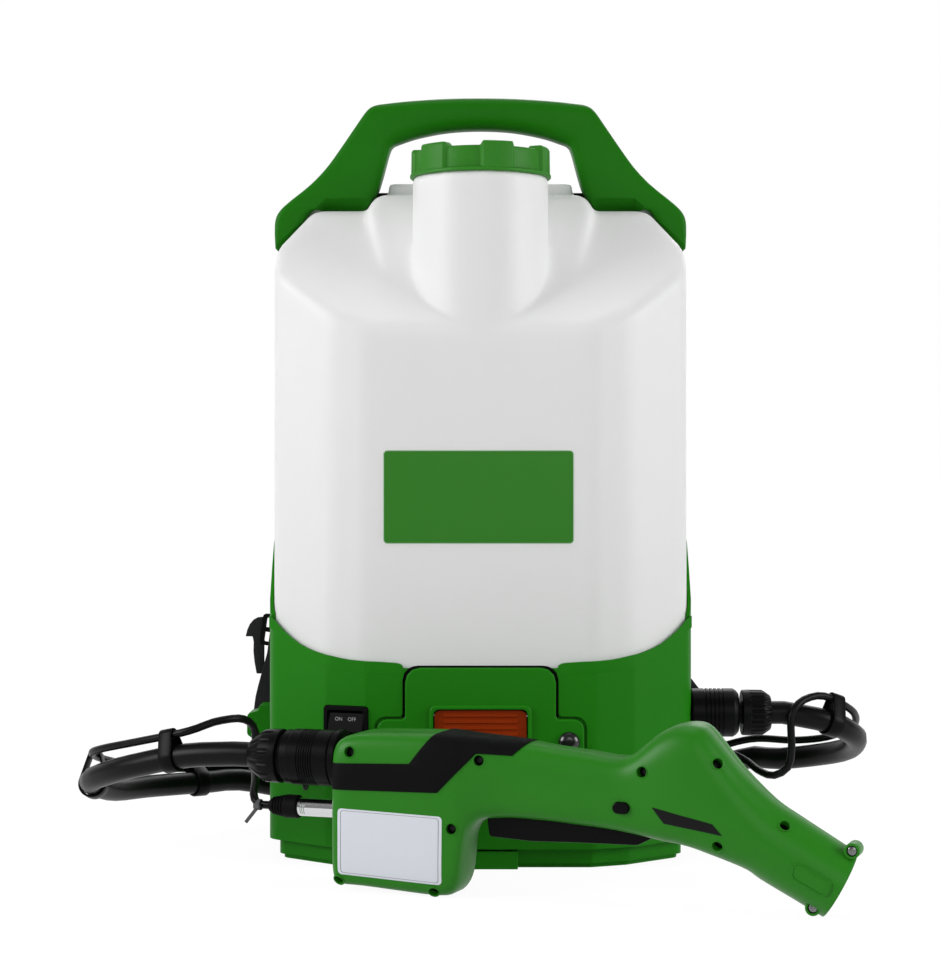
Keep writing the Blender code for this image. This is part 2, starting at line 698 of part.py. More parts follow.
def make_front_panel(green):
    """The T panel with the raised lip round the latch, and the lugs that carry the latch."""
    panel = finish("front_panel", soften(prism(panel_outline(0.0), PANEL_FRONT, PANEL_BACK, "Y"),
                                         0.0009, 1, 70.0), green)
    margin = PANEL_GROOVE + FLANGE_MARGIN
    ear = PANEL_EAR_WIDTH / 2 + PANEL_GROOVE
    flange = finish("flange", prism(rectangle(-ear, PANEL_BOTTOM - margin, ear,
                                              DECK_BOTTOM - SEAT, 0.003),
                                    FLANGE_FRONT, FLANGE_BACK, "Y"))
    bridge = finish("bridge", prism(rectangle(-PANEL_STEM_WIDTH / 2 + 0.002, PANEL_BOTTOM + 0.002,
                                              PANEL_STEM_WIDTH / 2 - 0.002, PANEL_EAR_TOP - 0.001),
                                    PANEL_BACK - 0.001, FLANGE_FRONT + 0.001, "Y"))
    lip = finish("lip", soften(prism(latch_window(LIP_WIDTH), PANEL_FRONT - LIP_PROUD,
                                     PANEL_BACK - 0.001, "Y"), 0.0011, 1, 70.0))
    lugs = []
    for side in (-1, 1):
        x = side * (LATCH_WIDTH / 2 + 0.0035)
        lug = finish("lug", prism(rounded([(FLANGE_FRONT, LATCH_PIVOT_Z - 0.010, 0.0),
                                           (LATCH_PIVOT_Y + 0.004, LATCH_PIVOT_Z - 0.004, 0.003),
                                           (LATCH_PIVOT_Y + 0.004, LATCH_PIVOT_Z + 0.004, 0.003),
                                           (FLANGE_FRONT, LATCH_PIVOT_Z + 0.006, 0.0)]),
                                  x - 0.0018, x + 0.0018, "X"))
        lugs.append(lug)
    fuse(panel, bridge, flange, lip, *lugs)
    window = finish("window", prism(latch_window(SLIDE), PANEL_FRONT - LIP_PROUD - OVERCUT,
                                    FLANGE_BACK + SLIDE, "Y"))
    pin = rod("pin_hole", LATCH_PIN_RADIUS + SEAT, -LATCH_WIDTH, LATCH_WIDTH,
              (LATCH_PIVOT_Y, LATCH_PIVOT_Z), "X", steps=12)
    port = rod("port_hole", PORT_RADIUS - 0.0015, PANEL_FRONT - OVERCUT, FLANGE_BACK + OVERCUT,
               (PORT_X, PORT_Z), "Y")
    return cut(panel, window, pin, port)


def make_latch(orange, steel):
    """The tank release: a ribbed plate below its pin, and an arm with a nose above it."""
    half = LATCH_WIDTH / 2
    plate = finish("release_latch", prism(latch_window(0.0), PANEL_FRONT + 0.0002,
                                          PANEL_BACK - 0.0006, "Y"), orange)
    pitch = LATCH_HEIGHT / (LATCH_RIBS + 1)
    ribs = [block("rib", (-half + 0.006, PANEL_FRONT - 0.0007, LATCH_TOP - pitch * (k + 1)),
                  (half - 0.006, PANEL_FRONT + 0.001, LATCH_TOP - pitch * (k + 1) + 0.0019))
            for k in range(LATCH_RIBS)]
    arm = LATCH_ARM_WIDTH / 2
    web = block("web", (-arm, PANEL_BACK - 0.001, LATCH_PIVOT_Z - 0.0022),
                (arm, LATCH_PIVOT_Y, LATCH_PIVOT_Z + 0.0022))
    hub = rod("hub", 0.0034, -arm, arm, (LATCH_PIVOT_Y, LATCH_PIVOT_Z), "X", steps=16)
    nose_reach = TANK_FRONT + POCKET_DEPTH - SEAT
    lever = prism(rounded([(LATCH_PIVOT_Y - 0.0012, LATCH_PIVOT_Z, 0.0),
                           (LATCH_PIVOT_Y + 0.0014, LATCH_PIVOT_Z, 0.0),
                           (LATCH_PIVOT_Y + 0.0014, LATCH_NOSE_TOP - 0.0050, 0.0010),
                           (nose_reach, LATCH_NOSE_TOP - 0.0050, 0.0),
                           (nose_reach, LATCH_NOSE_TOP - 0.0030, 0.0005),
                           (LATCH_PIVOT_Y + 0.0030, LATCH_NOSE_TOP, 0.0010),
                           (LATCH_PIVOT_Y - 0.0012, LATCH_NOSE_TOP, 0.0008)]), -arm, arm, "X")
    fuse(plate, *ribs, web, hub, finish("lever", lever))
    bore = rod("bore", LATCH_PIN_RADIUS + SEAT, -half, half, (LATCH_PIVOT_Y, LATCH_PIVOT_Z), "X",
               steps=12)
    cut(plate, bore)
    hinge_at(plate, (0.0, LATCH_PIVOT_Y, LATCH_PIVOT_Z))
    pin_half = half + 0.0052
    rod("latch_pin", LATCH_PIN_RADIUS, -pin_half, pin_half, (LATCH_PIVOT_Y, LATCH_PIVOT_Z), "X",
        steel, steps=12)
    wire = coil_points(0.0042, arm + 0.0010, arm + 0.0050, 3, (LATCH_PIVOT_Y, LATCH_PIVOT_Z), "X",
                       per_turn=8)
    tube("latch_spring", wire, 0.0004, steel, resolution=1)


def make_port_cap(rubber):
    """The rubber plug of the charging socket: a domed head and a stem in the panel's hole."""
    face = PANEL_FRONT - SEAT
    dome = [(face - PORT_RADIUS * 0.62 * math.sin(a), PORT_RADIUS * math.cos(a))
            for a in (math.radians(k * 18) for k in range(5))]
    profile = [(PANEL_BACK + 0.0015, PORT_RADIUS - 0.0018), (face, PORT_RADIUS - 0.0018), *dome]
    finish("port_cap", turned(profile, (PORT_X, PORT_Z), "Y", 16), rubber)


def make_power_switch(black):
    """The rocker and its frame, in the left facet of the base."""
    width, height, wall = BEZEL_WIDTH / 2, BEZEL_HEIGHT / 2, BEZEL_FRAME
    frame = ring_prism(rectangle(-width, -height, width, height, 0.0022),
                       rectangle(-width + wall, -height + wall, width - wall, height - wall,
                                 0.0012), -BEZEL_PROUD, BEZEL_DEPTH, "Y")
    bezel = finish("rocker_bezel", frame, black)
    pin_y = BEZEL_DEPTH * 0.45
    pivot = rod("pivot", 0.0012, -width + 0.0015, width - 0.0015, (pin_y, 0.0), "X", steps=10)
    fuse(bezel, pivot)
    bezel.data.transform(facet_frame())
    half, tall = width - wall - FIT, height - wall - ROCKER_SWEEP
    face = rounded([(-BEZEL_PROUD - 0.0006, -tall, 0.0006), (pin_y + 0.0030, -tall * 0.55, 0.001),
                    (pin_y + 0.0030, tall * 0.55, 0.001), (-BEZEL_PROUD + 0.0020, tall, 0.0006),
                    (-BEZEL_PROUD + 0.0008, 0.0, 0.004)])
    rocker = finish("power_rocker", prism(face, -half, half, "X"), black)
    cut(rocker, rod("bore", 0.0012 + SEAT, -width, width, (pin_y, 0.0), "X", steps=10))
    hinge_at(rocker, (0.0, pin_y, 0.0))
    rocker.matrix_world = facet_frame() @ Matrix.Translation((0.0, pin_y, 0.0))


def make_tank_socket(black):
    """The cup under the deck that takes the tank's outlet, with the post that opens its valve."""
    centre, top = (0.0, OUTLET_Y), DECK_BOTTOM - SEAT
    floor = top - 0.0190
    inner = OUTLET_HOLE + 2 * FIT
    profile = [(floor, 0.0055), (floor, inner + 0.0035), (top - 0.003, inner + 0.0035),
               (top - 0.003, inner + 0.010), (top, inner + 0.010), (top, inner),
               (floor + 0.003, inner), (floor + 0.003, 0.0055)]
    cup = finish("tank_socket", turned(profile, centre, "Z", 20, closed=True), black)
    core = finish("core", turned([(floor, 0.0065), (floor + 0.003, 0.0065)], centre, "Z", 20))
    post = rod("post", 0.0030, floor + 0.001, POST_TOP, centre, "Z", steps=14)
    beside = (0.0080, OUTLET_Y)
    nipple = rod("nipple", NIPPLE_RADIUS, floor - NIPPLE_LENGTH, floor + 0.002, beside, "Z")
    fuse(cup, core, post, nipple)
    return cut(cup, rod("bore", 0.0022, floor - 0.020, floor + 0.010, beside, "Z", steps=12))


# ---------------------------------------------------------------------------------------------
# Pump, battery and board


def make_pump(steel, black, brass):
    """A can motor that is open towards the pump head, its rotor, and the head itself."""
    axis = (PUMP_Y, PUMP_Z)
    start, end = PUMP_SPLIT - MOTOR_LENGTH, PUMP_SPLIT - SEAT
    inner = MOTOR_RADIUS - MOTOR_WALL
    profile = [(start - 0.004, 0.0001), (start - 0.004, 0.006), (start, 0.006),
               (start, MOTOR_RADIUS), (end, MOTOR_RADIUS), (end, inner),
               (start + MOTOR_WALL, inner), (start + MOTOR_WALL, 0.0001)]
    finish("pump_motor", turned(profile, axis, "X", 24), steel)
    armature = [(start + MOTOR_WALL + SEAT, 0.002), (start + 0.005, 0.002), (start + 0.005, 0.014),
                (end - 0.009, 0.014), (end - 0.009, 0.002), (end + 0.0055, 0.002),
                (end + 0.0055, 0.0038), (end + 0.0095, 0.0038)]
    rotor = finish("pump_rotor", turned(armature, axis, "X", 16), brass)
    hinge_at(rotor, (PUMP_SPLIT, PUMP_Y, PUMP_Z))
    half = HEAD_SIZE / 2
    head = block("pump_head", (PUMP_SPLIT, PUMP_Y - half, PUMP_Z - half),
                 (PUMP_SPLIT + HEAD_LENGTH, PUMP_Y + half, PUMP_Z + half), black, 0.003)
    top = PUMP_Z + half
    bores = [rod("bore", 0.0044, PUMP_SPLIT - 0.002, PUMP_SPLIT + 0.012, axis, "X", steps=16)]
    for x, y in (PUMP_INLET, PUMP_OUTLET):
        fuse(head, rod("nipple", NIPPLE_RADIUS, top - 0.001, top + NIPPLE_LENGTH, (x, y), "Z"))
        bores.append(rod("bore", 0.0022, top - 0.006, top + NIPPLE_LENGTH + 0.002, (x, y), "Z",
                         steps=12))
    cut(head, *bores)


def make_pipes(clear):
    """The feed pipe from the socket to the pump, and the delivery pipe on to the outlet."""
    low = DECK_BOTTOM - SEAT - 0.0190 - NIPPLE_LENGTH - SEAT
    top = PUMP_Z + HEAD_SIZE / 2 + NIPPLE_LENGTH + SEAT
    (in_x, in_y), (out_x, out_y) = PUMP_INLET, PUMP_OUTLET
    start, end = Vector((0.0080, OUTLET_Y, low)), Vector((in_x, in_y, top))
    lead = Vector((0.0, 0.0, 0.0050))
    feed = smooth_line([start - lead, (start + end) / 2, end + lead], 0.007)
    tube("feed_pipe", [start, *feed, end], PIPE_RADIUS, clear)
    start = Vector((out_x, out_y, top))
    end = Vector((BASE_SIDE - BASE_WALL - 2 * SEAT - 0.016, OUTLET_PIPE_Y, OUTLET_PIPE_Z))
    delivery = smooth_line([start + lead, (out_x + 0.006, out_y - 0.004, top + 0.020),
                            (out_x + 0.026, out_y - 0.018, OUTLET_PIPE_Z - 0.005),
                            (0.085, -0.012, OUTLET_PIPE_Z - 0.001),
                            end - Vector((0.010, 0.0, 0.0))], 0.012)
    tube("delivery_pipe", [start, *delivery, end], PIPE_RADIUS, clear)


def make_battery(black):
    x0, y0 = BATTERY_CORNER
    low = 0.0075 + SEAT
    pack = block("battery_pack", (x0, y0, low),
                 (x0 + BATTERY[0], y0 + BATTERY[1], low + BATTERY[2]), black, 0.005, 3)
    keys = [block("key", (x0 - 0.002, y0 + 0.010 + k * 0.009, low + 0.030),
                  (x0 + 0.006, y0 + 0.013 + k * 0.009, low + 0.050)) for k in range(3)]
    return cut(pack, *keys)


def make_board(board_green):
    """The control board with its relay, its terminal strip and its capacitor."""
    x0, y0 = BOARD_CORNER
    top = BOARD_HEIGHT + BOARD[2]
    board = block("control_board", (x0, y0, BOARD_HEIGHT), (x0 + BOARD[0], y0 + BOARD[1], top),
                  board_green)
    low = top - BOARD[2] / 3

    def fitted(name, u, v, size):
        return block(name, (x0 + u, y0 + v, low), (x0 + u + size[0], y0 + v + size[1],
                                                   top + size[2]))

    relay = fitted("relay", BOARD[0] * 0.2, BOARD[1] * 0.24, RELAY)
    strip = fitted("strip", BOARD[0] / 6, BOARD[1] * 0.76, TERMINALS)
    radius, height = CAPACITOR
    store = rod("store", radius, low, top + height, (x0 + BOARD[0] * 0.72, y0 + BOARD[1] * 0.4),
                "Z", steps=14)
    return fuse(board, relay, strip, store)


# ---------------------------------------------------------------------------------------------
# Tank


def tank_planes(inset):
    """The planes that bound the tank's body, moved inwards by inset."""
    slope = Vector((0.0, -(TANK_TOP - FACE_TOP), SLOPE_RUN)).normalized()
    planes = [((0.0, TANK_FRONT, FACE_TOP), slope)]
    for side in (-1, 1):
        corners = drawn_in(base_corners(), BASE_WALL + CUP_GAP)
        flat, facet, chamfer = (Vector((abs(c[0]) * side, c[1], 0.0)) for c in corners[3:6])
        for a, b in ((flat, facet), (facet, chamfer)):
            run = b - a
            planes.append((a, Vector((run.y, -run.x, 0.0)).normalized() * side))
        corner = Vector((CUT_DROP * side, 0.0, CUT_RUN)).normalized()
        planes.append(((side * TANK_SIDE, 0.0, TANK_TOP - CUT_DROP), corner))
    return [(Vector(point) - normal * inset, normal) for point, normal in planes]


def tank_form(name, inset, mouth_top, finish_paint=None):
    """The tank's shape: body, apron round the neck, ledge behind it, and the neck itself."""
    side = TANK_SIDE - inset
    body = bounded((-side, TANK_FRONT + inset, TANK_FOOT + inset),
                   (side, TANK_BACK - inset, TANK_TOP - inset), tank_planes(inset))
    form = finish(name, soften(body, TANK_ROUND - inset, 2, 8.0), finish_paint)

    slope = Vector((0.0, -(TANK_TOP - FACE_TOP), SLOPE_RUN)).normalized()
    raised = Vector((0.0, TANK_FRONT, FACE_TOP)) + slope * (BULGE_RISE * 0.75 - inset)
    top, foot, low = BULGE_TOP_WIDTH / 2, BULGE_FOOT_WIDTH / 2, BULGE_LOW_WIDTH / 2
    planes = [(raised, slope)]
    for way in (-1, 1):
        lean = Vector((BULGE_RISE * way, 0.0, foot - top)).normalized()
        planes.append((Vector((way * top, 0.0, TANK_TOP + BULGE_RISE)) - lean * inset, lean))
        taper = Vector((BULGE_DROP * way, 0.0, -(foot - low))).normalized()
        planes.append((Vector((way * foot, 0.0, TANK_TOP)) - taper * inset, taper))
    apron = bounded((-0.1, TANK_FRONT + 0.001, TANK_TOP - BULGE_DROP),
                    (0.1, HANDLE_BACK - 0.006 - inset, TANK_TOP + BULGE_RISE - inset), planes)
    ledge_half = LEDGE_WIDTH / 2 - inset
    ledge = block("ledge", (-ledge_half, TANK_BACK - LEDGE_DEPTH + inset, TANK_TOP - 0.012),
                  (ledge_half, TANK_BACK - inset, TANK_TOP + LEDGE_RISE - inset))
    neck = [(FACE_TOP - 0.040, NECK_RADIUS - inset), (NECK_TOP, NECK_RADIUS - inset)]
    if inset:
        neck += [(NECK_TOP - 0.003, MOUTH_RADIUS - MOUTH_WALL)]
    neck += [(NECK_TOP, MOUTH_RADIUS - (MOUTH_WALL if inset else 0.0)),
             (mouth_top, MOUTH_RADIUS - (MOUTH_WALL if inset else 0.0))]
    if inset:
        neck = [neck[0], (NECK_TOP - MOUTH_WALL - 0.002, neck[0][1]),
                (NECK_TOP - 0.002, MOUTH_RADIUS - MOUTH_WALL),
                (mouth_top, MOUTH_RADIUS - MOUTH_WALL)]
    neck_solid = finish("neck", turned(neck, (0.0, NECK_Y), "Z", 36))
    return fuse(form, finish("apron", soften(apron, BULGE_ROUND, 2, 20.0)), ledge, neck_solid)


def make_tank(plastic):
    """The blow-moulded tank: one wall all over, open at its mouth and at its outlet."""
    tank = tank_form("tank_shell", 0.0, MOUTH_TOP, plastic)
    hollow = tank_form("hollow", TANK_WALL, MOUTH_TOP + OVERCUT)
    half = POCKET_WIDTH / 2
    low, back = TANK_FOOT - OVERCUT, TANK_FRONT + POCKET_DEPTH
    kept = block("kept", (-half - TANK_WALL, TANK_FRONT - OVERCUT, low),
                 (half + TANK_WALL, back + CATCH_DEPTH + TANK_WALL,
                  TANK_FOOT + POCKET_HEIGHT + TANK_WALL))
    cut(hollow, kept)
    pocket = block("pocket", (-half, TANK_FRONT - OVERCUT, low),
                   (half, back, TANK_FOOT + POCKET_HEIGHT))
    catch = block("catch", (-LATCH_ARM_WIDTH / 2 - SLIDE, back - 0.001, LATCH_NOSE_TOP - 0.0060),
                  (LATCH_ARM_WIDTH / 2 + SLIDE, back + CATCH_DEPTH, LATCH_NOSE_TOP - 0.0010))
    outlet = rod("outlet_hole", OUTLET_HOLE + SEAT, low, TANK_FOOT + 2 * OVERCUT,
                 (0.0, OUTLET_Y), "Z")
    return cut(tank, hollow, pocket, catch, outlet)


def make_outlet_valve(black, brass, steel):
    """The valve in the tank's foot. A post in the base lifts its poppet while the tank stands."""
    centre = (0.0, OUTLET_Y)
    floor = TANK_FOOT + TANK_WALL + SEAT
    top = floor + VALVE_RISE
    low = DECK_BOTTOM - 0.0100
    seat = DECK_BOTTOM - 0.0020
    profile = [(low, 0.0055), (low, OUTLET_HOLE - 0.001), (floor, OUTLET_HOLE - SEAT),
               (floor, OUTLET_HOLE + 0.005), (floor + 0.0035, OUTLET_HOLE + 0.005),
               (floor + 0.0035, 0.0110), (top, 0.0110), (top, 0.0045), (top - 0.0020, 0.0045),
               (top - 0.0020, 0.0090), (seat, 0.0090), (seat, 0.0055)]
    finish("valve_housing", turned(profile, centre, "Z", 20, closed=True), black)
    head = seat + VALVE_TRAVEL + SEAT
    poppet = [(POST_TOP + SEAT, 0.0028), (head, 0.0028), (head, 0.0080), (head + 0.0022, 0.0080)]
    made = finish("valve_poppet", turned(poppet, centre, "Z", 18), brass)
    hinge_at(made, (0.0, OUTLET_Y, head))
    wire = coil_points(0.0062, head + 0.0022 + 0.0009, top - 0.0020 - 0.0009, 4, centre, "Z",
                       per_turn=9)
    tube("valve_spring", wire, 0.0005, steel, resolution=1)


def lobe_share(angle):
    """1 on a lobe of the cap and 0 between lobes, with short ramps."""
    turn = (math.degrees(angle) - 15.0) % (360 / CAP_LOBES)
    away = min(turn, 360 / CAP_LOBES - turn)
    return min(max((15.5 - away) / 3.0, 0.0), 1.0)


def make_cap(green, rubber):
    """The screw cap: a flange ring, raised lobes round the wall, and a hollow for the mouth."""
    bore = MOUTH_RADIUS + FIT
    ceiling = MOUTH_TOP + GASKET_THICKNESS + 2 * SEAT

    def ring(radius, height, lobed=0.0, risen=0.0):
        points = []
        for k in range(CAP_STEPS):
            angle = 2 * math.pi * k / CAP_STEPS
            lobe = lobe_share(angle)
            reach = radius - CAP_LOBE_DEPTH * lobed * (1 - lobe)
            points.append((reach * math.sin(angle), NECK_Y - reach * math.cos(angle),
                           height + CAP_LOBE_RISE * risen * lobe))
        return points

    rim = CAP_TOP
    rings = [ring(bore, ceiling), ring(bore, CAP_BOTTOM), ring(CAP_RADIUS, CAP_BOTTOM),
             ring(CAP_RADIUS, CAP_BOTTOM + CAP_FLANGE - 0.0008),
             ring(CAP_RADIUS - 0.0007, CAP_BOTTOM + CAP_FLANGE, 0.4),
             ring(CAP_RADIUS - 0.0007, CAP_BOTTOM + CAP_FLANGE + 0.0006, 1.0),
             ring(CAP_RADIUS - 0.0009, rim - 0.0016, 1.0, 1.0),
             ring(CAP_RADIUS - 0.0022, rim, 0.8, 1.0), ring(CAP_RADIUS - 0.0110, rim, 0.0, 1.0),
             ring(CAP_RADIUS - 0.0135, rim)]
    cap = finish("tank_cap", skin(rings), green)
    hinge_at(cap, (0.0, NECK_Y, CAP_BOTTOM))
    low = MOUTH_TOP + SEAT
    seal = [(low, MOUTH_RADIUS - 0.0055), (low, MOUTH_RADIUS - 0.0003),
            (low + GASKET_THICKNESS, MOUTH_RADIUS - 0.0003),
            (low + GASKET_THICKNESS, MOUTH_RADIUS - 0.0055)]
    gasket = finish("cap_gasket", turned(seal, (0.0, NECK_Y), "Z", 30, closed=True), rubber)
    hinge_at(gasket, (0.0, NECK_Y, low))


def make_handle(green):
    """The arched carry handle. Its legs splay and wrap the tank's cut top corners."""
    bar = TANK_TOP + HANDLE_BAR_RISE
    outward = Vector((CUT_DROP, CUT_RUN)).normalized() * (2 * SEAT)
    cut_top = Vector((TANK_SIDE - CUT_RUN, TANK_TOP)) + outward
    cut_low = Vector((TANK_SIDE, TANK_TOP - CUT_DROP)) + outward
    rest = TANK_TOP + 2 * SEAT
    half = [
        ((0.0000, bar - 0.0235), (0.0000, bar)),
        ((0.0230, bar - 0.0247), (0.0250, bar - 0.0004)),
        ((0.0440, bar - 0.0285), (0.0500, bar - 0.0020)),
        ((0.0570, bar - 0.0325), (0.0680, bar - 0.0040)),
        ((0.0635, bar - 0.0352), (0.0775, bar - 0.0058)),
        ((0.0662, bar - 0.0400), (0.0832, bar - 0.0100)),
        ((0.0690, bar - 0.0500), (0.0905, bar - 0.0205)),
        ((0.0718, bar - 0.0600), (0.1010, bar - 0.0360)),
        ((0.0752, bar - 0.0690), (0.1110, bar - 0.0500)),
        ((0.0850, rest + 0.0006), (0.1205, bar - 0.0605)),
        ((0.0980, rest), (0.1290, bar - 0.0680)),
        ((0.1110, rest), (0.1385, bar - 0.0755)),
        (cut_top + Vector((0.001, 0.0)), Vector((TANK_SIDE + 0.0005, bar - 0.0822))),
        (cut_top.lerp(cut_low, 0.35), Vector((TANK_SIDE + 0.0040, bar - 0.0890))),
        (cut_top.lerp(cut_low, 0.70), Vector((TANK_SIDE + 0.0046, bar - 0.0990))),
        (cut_top.lerp(cut_low, 0.96), Vector((TANK_SIDE + 0.0040, bar - 0.1100))),
    ]
    swell = HANDLE_DEPTH / 2
    right = [(low, high, swell, HANDLE_SQUARENESS, (0.0, 0.0)) for low, high in half]
    left = [(Vector((-low[0], low[1])), Vector((-high[0], high[1])), swell, HANDLE_SQUARENESS,
             (0.0, 0.0)) for low, high in half[:0:-1]]
    return finish("carry_handle", ribbed(left + right, middle=HANDLE_BACK - swell), green)


# ---------------------------------------------------------------------------------------------
# Outlet, hose and cable

HOSE_ROUTE = [  # from just beyond the handle's nut to just before the outlet's nut
    (-0.1974, -0.1030, 0.0801), (-0.2333, -0.0830, 0.0712), (-0.2546, -0.0650, 0.0641),
    (-0.2734, -0.0350, 0.0539), (-0.2650, 0.0050, 0.0425), (-0.2422, 0.0450, 0.0396),
    (-0.2056, 0.0800, 0.0379), (-0.1778, 0.1000, 0.0365), (-0.1200, 0.1220, 0.0220),
    (-0.0600, 0.1320, 0.0120), (0.0000, 0.1350, 0.0092), (0.0300, 0.1360, 0.0095),
    (0.0800, 0.1350, 0.0160), (0.1500, 0.1300, 0.0340), (0.2067, 0.1150, 0.0521),
    (0.2247, 0.1000, 0.0529), (0.2545, 0.0750, 0.0592), (0.2707, 0.0450, 0.0672),
    (0.2712, 0.0130, 0.0786), (0.2603, -0.0070, 0.0873), (0.2473, -0.0170, 0.0938),
    (0.2263, -0.0200, 0.0983)]
CABLE_ROUTE = [  # from just beyond the gland to just before the handle's plug
    (0.1900, 0.0010, 0.0640), (0.1980, -0.0130, 0.0585), (0.2069, -0.0250, 0.0565),
    (0.2165, -0.0300, 0.0631), (0.2186, -0.0330, 0.0765), (0.2182, -0.0335, 0.0881),
    (0.2182, -0.0335, 0.0993), (0.2219, -0.0320, 0.1059), (0.2290, -0.0265, 0.1105),
    (0.2400, -0.0205, 0.1125), (0.2505, -0.0140, 0.1095), (0.2599, -0.0050, 0.1043),
    (0.2704, 0.0130, 0.0960), (0.2735, 0.0400, 0.0850), (0.2612, 0.0720, 0.0731),
    (0.2378, 0.0920, 0.0680), (0.2100, 0.1110, 0.0670), (0.1850, 0.1210, 0.0600),
    (0.1500, 0.1310, 0.0480), (0.1150, 0.1360, 0.0370), (0.0800, 0.1365, 0.0280),
    (0.0300, 0.1370, 0.0212), (0.0000, 0.1360, 0.0208), (-0.0600, 0.1330, 0.0237),
    (-0.1200, 0.1230, 0.0337), (-0.1778, 0.1075, 0.0455), (-0.2050, 0.0890, 0.0475),
    (-0.2300, 0.0650, 0.0500), (-0.2530, 0.0350, 0.0560), (-0.2700, 0.0000, 0.0650),
    (-0.2725, -0.0350, 0.0733), (-0.2632, -0.0550, 0.0788), (-0.2356, -0.0800, 0.0864),
    (-0.2035, -0.1010, 0.0946), (-0.1904, -0.1040, 0.0985), (-0.1800, -0.1020, 0.1023),
    (-0.1691, -0.0970, 0.1040), (-0.1630, -0.0910, 0.1037), (-0.1577, -0.0830, 0.1008),
    (-0.1545, -0.0760, 0.0945), (-0.1540, -0.0740, 0.0860), (-0.1540, -0.0770, 0.0760),
    (-0.1530, -0.0880, 0.0680), (-0.1515, -0.1040, 0.0615), (-0.1512, -0.1165, 0.0545)]
CLIP_PLACES = {"hose_clip_right": (0.2480, -0.0165, 0.0935),
               "hose_clip_left": (-0.2035, -0.1010, 0.0790),
               "hose_clip_end": (-0.2730, -0.0350, 0.0539)}


def make_outlet(black):
    """The ringed barrel through the base's right wall, its nut, and the cable's gland."""
    centre = (OUTLET_PIPE_Y, OUTLET_PIPE_Z)
    inside = BASE_SIDE - BASE_WALL - SEAT
    profile = [(inside - 0.016, BORE_RADIUS), (inside - 0.016, 0.0062), (inside - 0.0035, 0.0062),
               (inside - 0.0035, 0.0105), (inside, 0.0105), (inside, SPIGOT_RADIUS),
               (BARREL_START, SPIGOT_RADIUS), (BARREL_START, BARREL_RADIUS + 0.0012),
               (BARREL_START + 0.003, BARREL_RADIUS + 0.0012), (BARREL_START + 0.003,
                                                               BARREL_RADIUS)]
    for k in range(3):
        groove = BARREL_START + 0.0085 + k * 0.0066
        profile += [(groove, BARREL_RADIUS), (groove + 0.0007, BARREL_RADIUS - 0.0008),
                    (groove + 0.0016, BARREL_RADIUS - 0.0008), (groove + 0.0023, BARREL_RADIUS)]
    end = BARREL_START + BARREL_LENGTH
    profile += [(end - 0.0020, BARREL_RADIUS), (end, BARREL_RADIUS - 0.0025),
                (end, SPIGOT_RADIUS), (NUT_END - 0.0003, SPIGOT_RADIUS),
                (NUT_END - 0.0003, BORE_RADIUS)]
    finish("outlet_barrel", turned(profile, centre, "X", 20, closed=True), black)
    nut = finish("outlet_nut", nut_form(NUT_START, NUT_LENGTH, NUT_RADIUS, centre), black)
    hinge_at(nut, (NUT_START, *centre))
    start = BASE_SIDE - BASE_WALL - 0.006
    gland = [(start, 0.0031), (start, 0.0048), (BARREL_START, 0.0048), (BARREL_START, 0.0085),
             (BARREL_START + 0.0035, 0.0085), (BARREL_START + 0.0035, 0.0062),
             (BARREL_START + GLAND_LENGTH, 0.0040), (BARREL_START + GLAND_LENGTH, 0.0031)]
    finish("cable_gland", turned(gland, (GLAND_Y, GLAND_Z), "X", 16, closed=True), black)


def nut_form(start, length, radius, centre, rear_cone=0.0, front_cone=0.0045):
    """A ribbed union nut about X: its ends are cones, and it is bored for the spigot."""
    bore = SPIGOT_RADIUS + FIT / 2
    end, rib = start + length, 0.0008
    profile = [(start, bore), (start, radius - rib - rear_cone), (start + rear_cone + 0.001, radius),
               (end - front_cone, radius), (end - front_cone + 0.0004, radius - rib * 1.5),
               (end, radius - front_cone * 0.9), (end, bore)]
    return turned(profile, centre, "X", NUT_RIBS * 2, closed=True,
                  flutes=(NUT_RIBS, rib, bore + rib))


def hose_line():
    start = gun_point(GUN_NUT_START - SEAT, SWIVEL_Z)
    lead = gun_point(GUN_NUT_START - 0.010, SWIVEL_Z)
    end = Vector((NUT_END + SEAT, OUTLET_PIPE_Y, OUTLET_PIPE_Z))
    tail = end + Vector((0.010, 0.0, 0.0))
    return [start, *smooth_line([lead, *HOSE_ROUTE, tail], HOSE_DIAMETER * 2.1), end]


def cable_line():
    start = Vector((BARREL_START + GLAND_LENGTH + SEAT, GLAND_Y, GLAND_Z))
    lead = start + Vector((0.005, 0.0, 0.0))
    end, tail = (gun_point(BOOT_START - back, PLUG_Z) for back in (SEAT, 0.0045))
    return [start, *smooth_line([lead, *CABLE_ROUTE, tail], CABLE_DIAMETER * 3.0), end]


def make_hose_and_cable(black, rubber):
    hose, cable = hose_line(), cable_line()
    tube("hose", hose, HOSE_DIAMETER / 2, black, resolution=3)
    tube("cable", cable, CABLE_DIAMETER / 2, rubber, resolution=2)
    for name, place in CLIP_PLACES.items():
        a, b = min(zip(hose, hose[1:]), key=lambda ends: ((ends[0] + ends[1]) / 2
                                                          - Vector(place)).length)
        make_clip(name, (a + b) / 2, cable, (b - a).normalized(), black)


def crossing(line, point, normal):
    """Where a line passes nearest through a plane about a point."""
    hits = []
    for a, b in zip(line, line[1:]):
        before, after = (a - point).dot(normal), (b - point).dot(normal)
        if before * after <= 0 and before != after:
            hits.append(a.lerp(b, before / (before - after)))
    return min(hits, key=lambda hit: (hit - point).length)


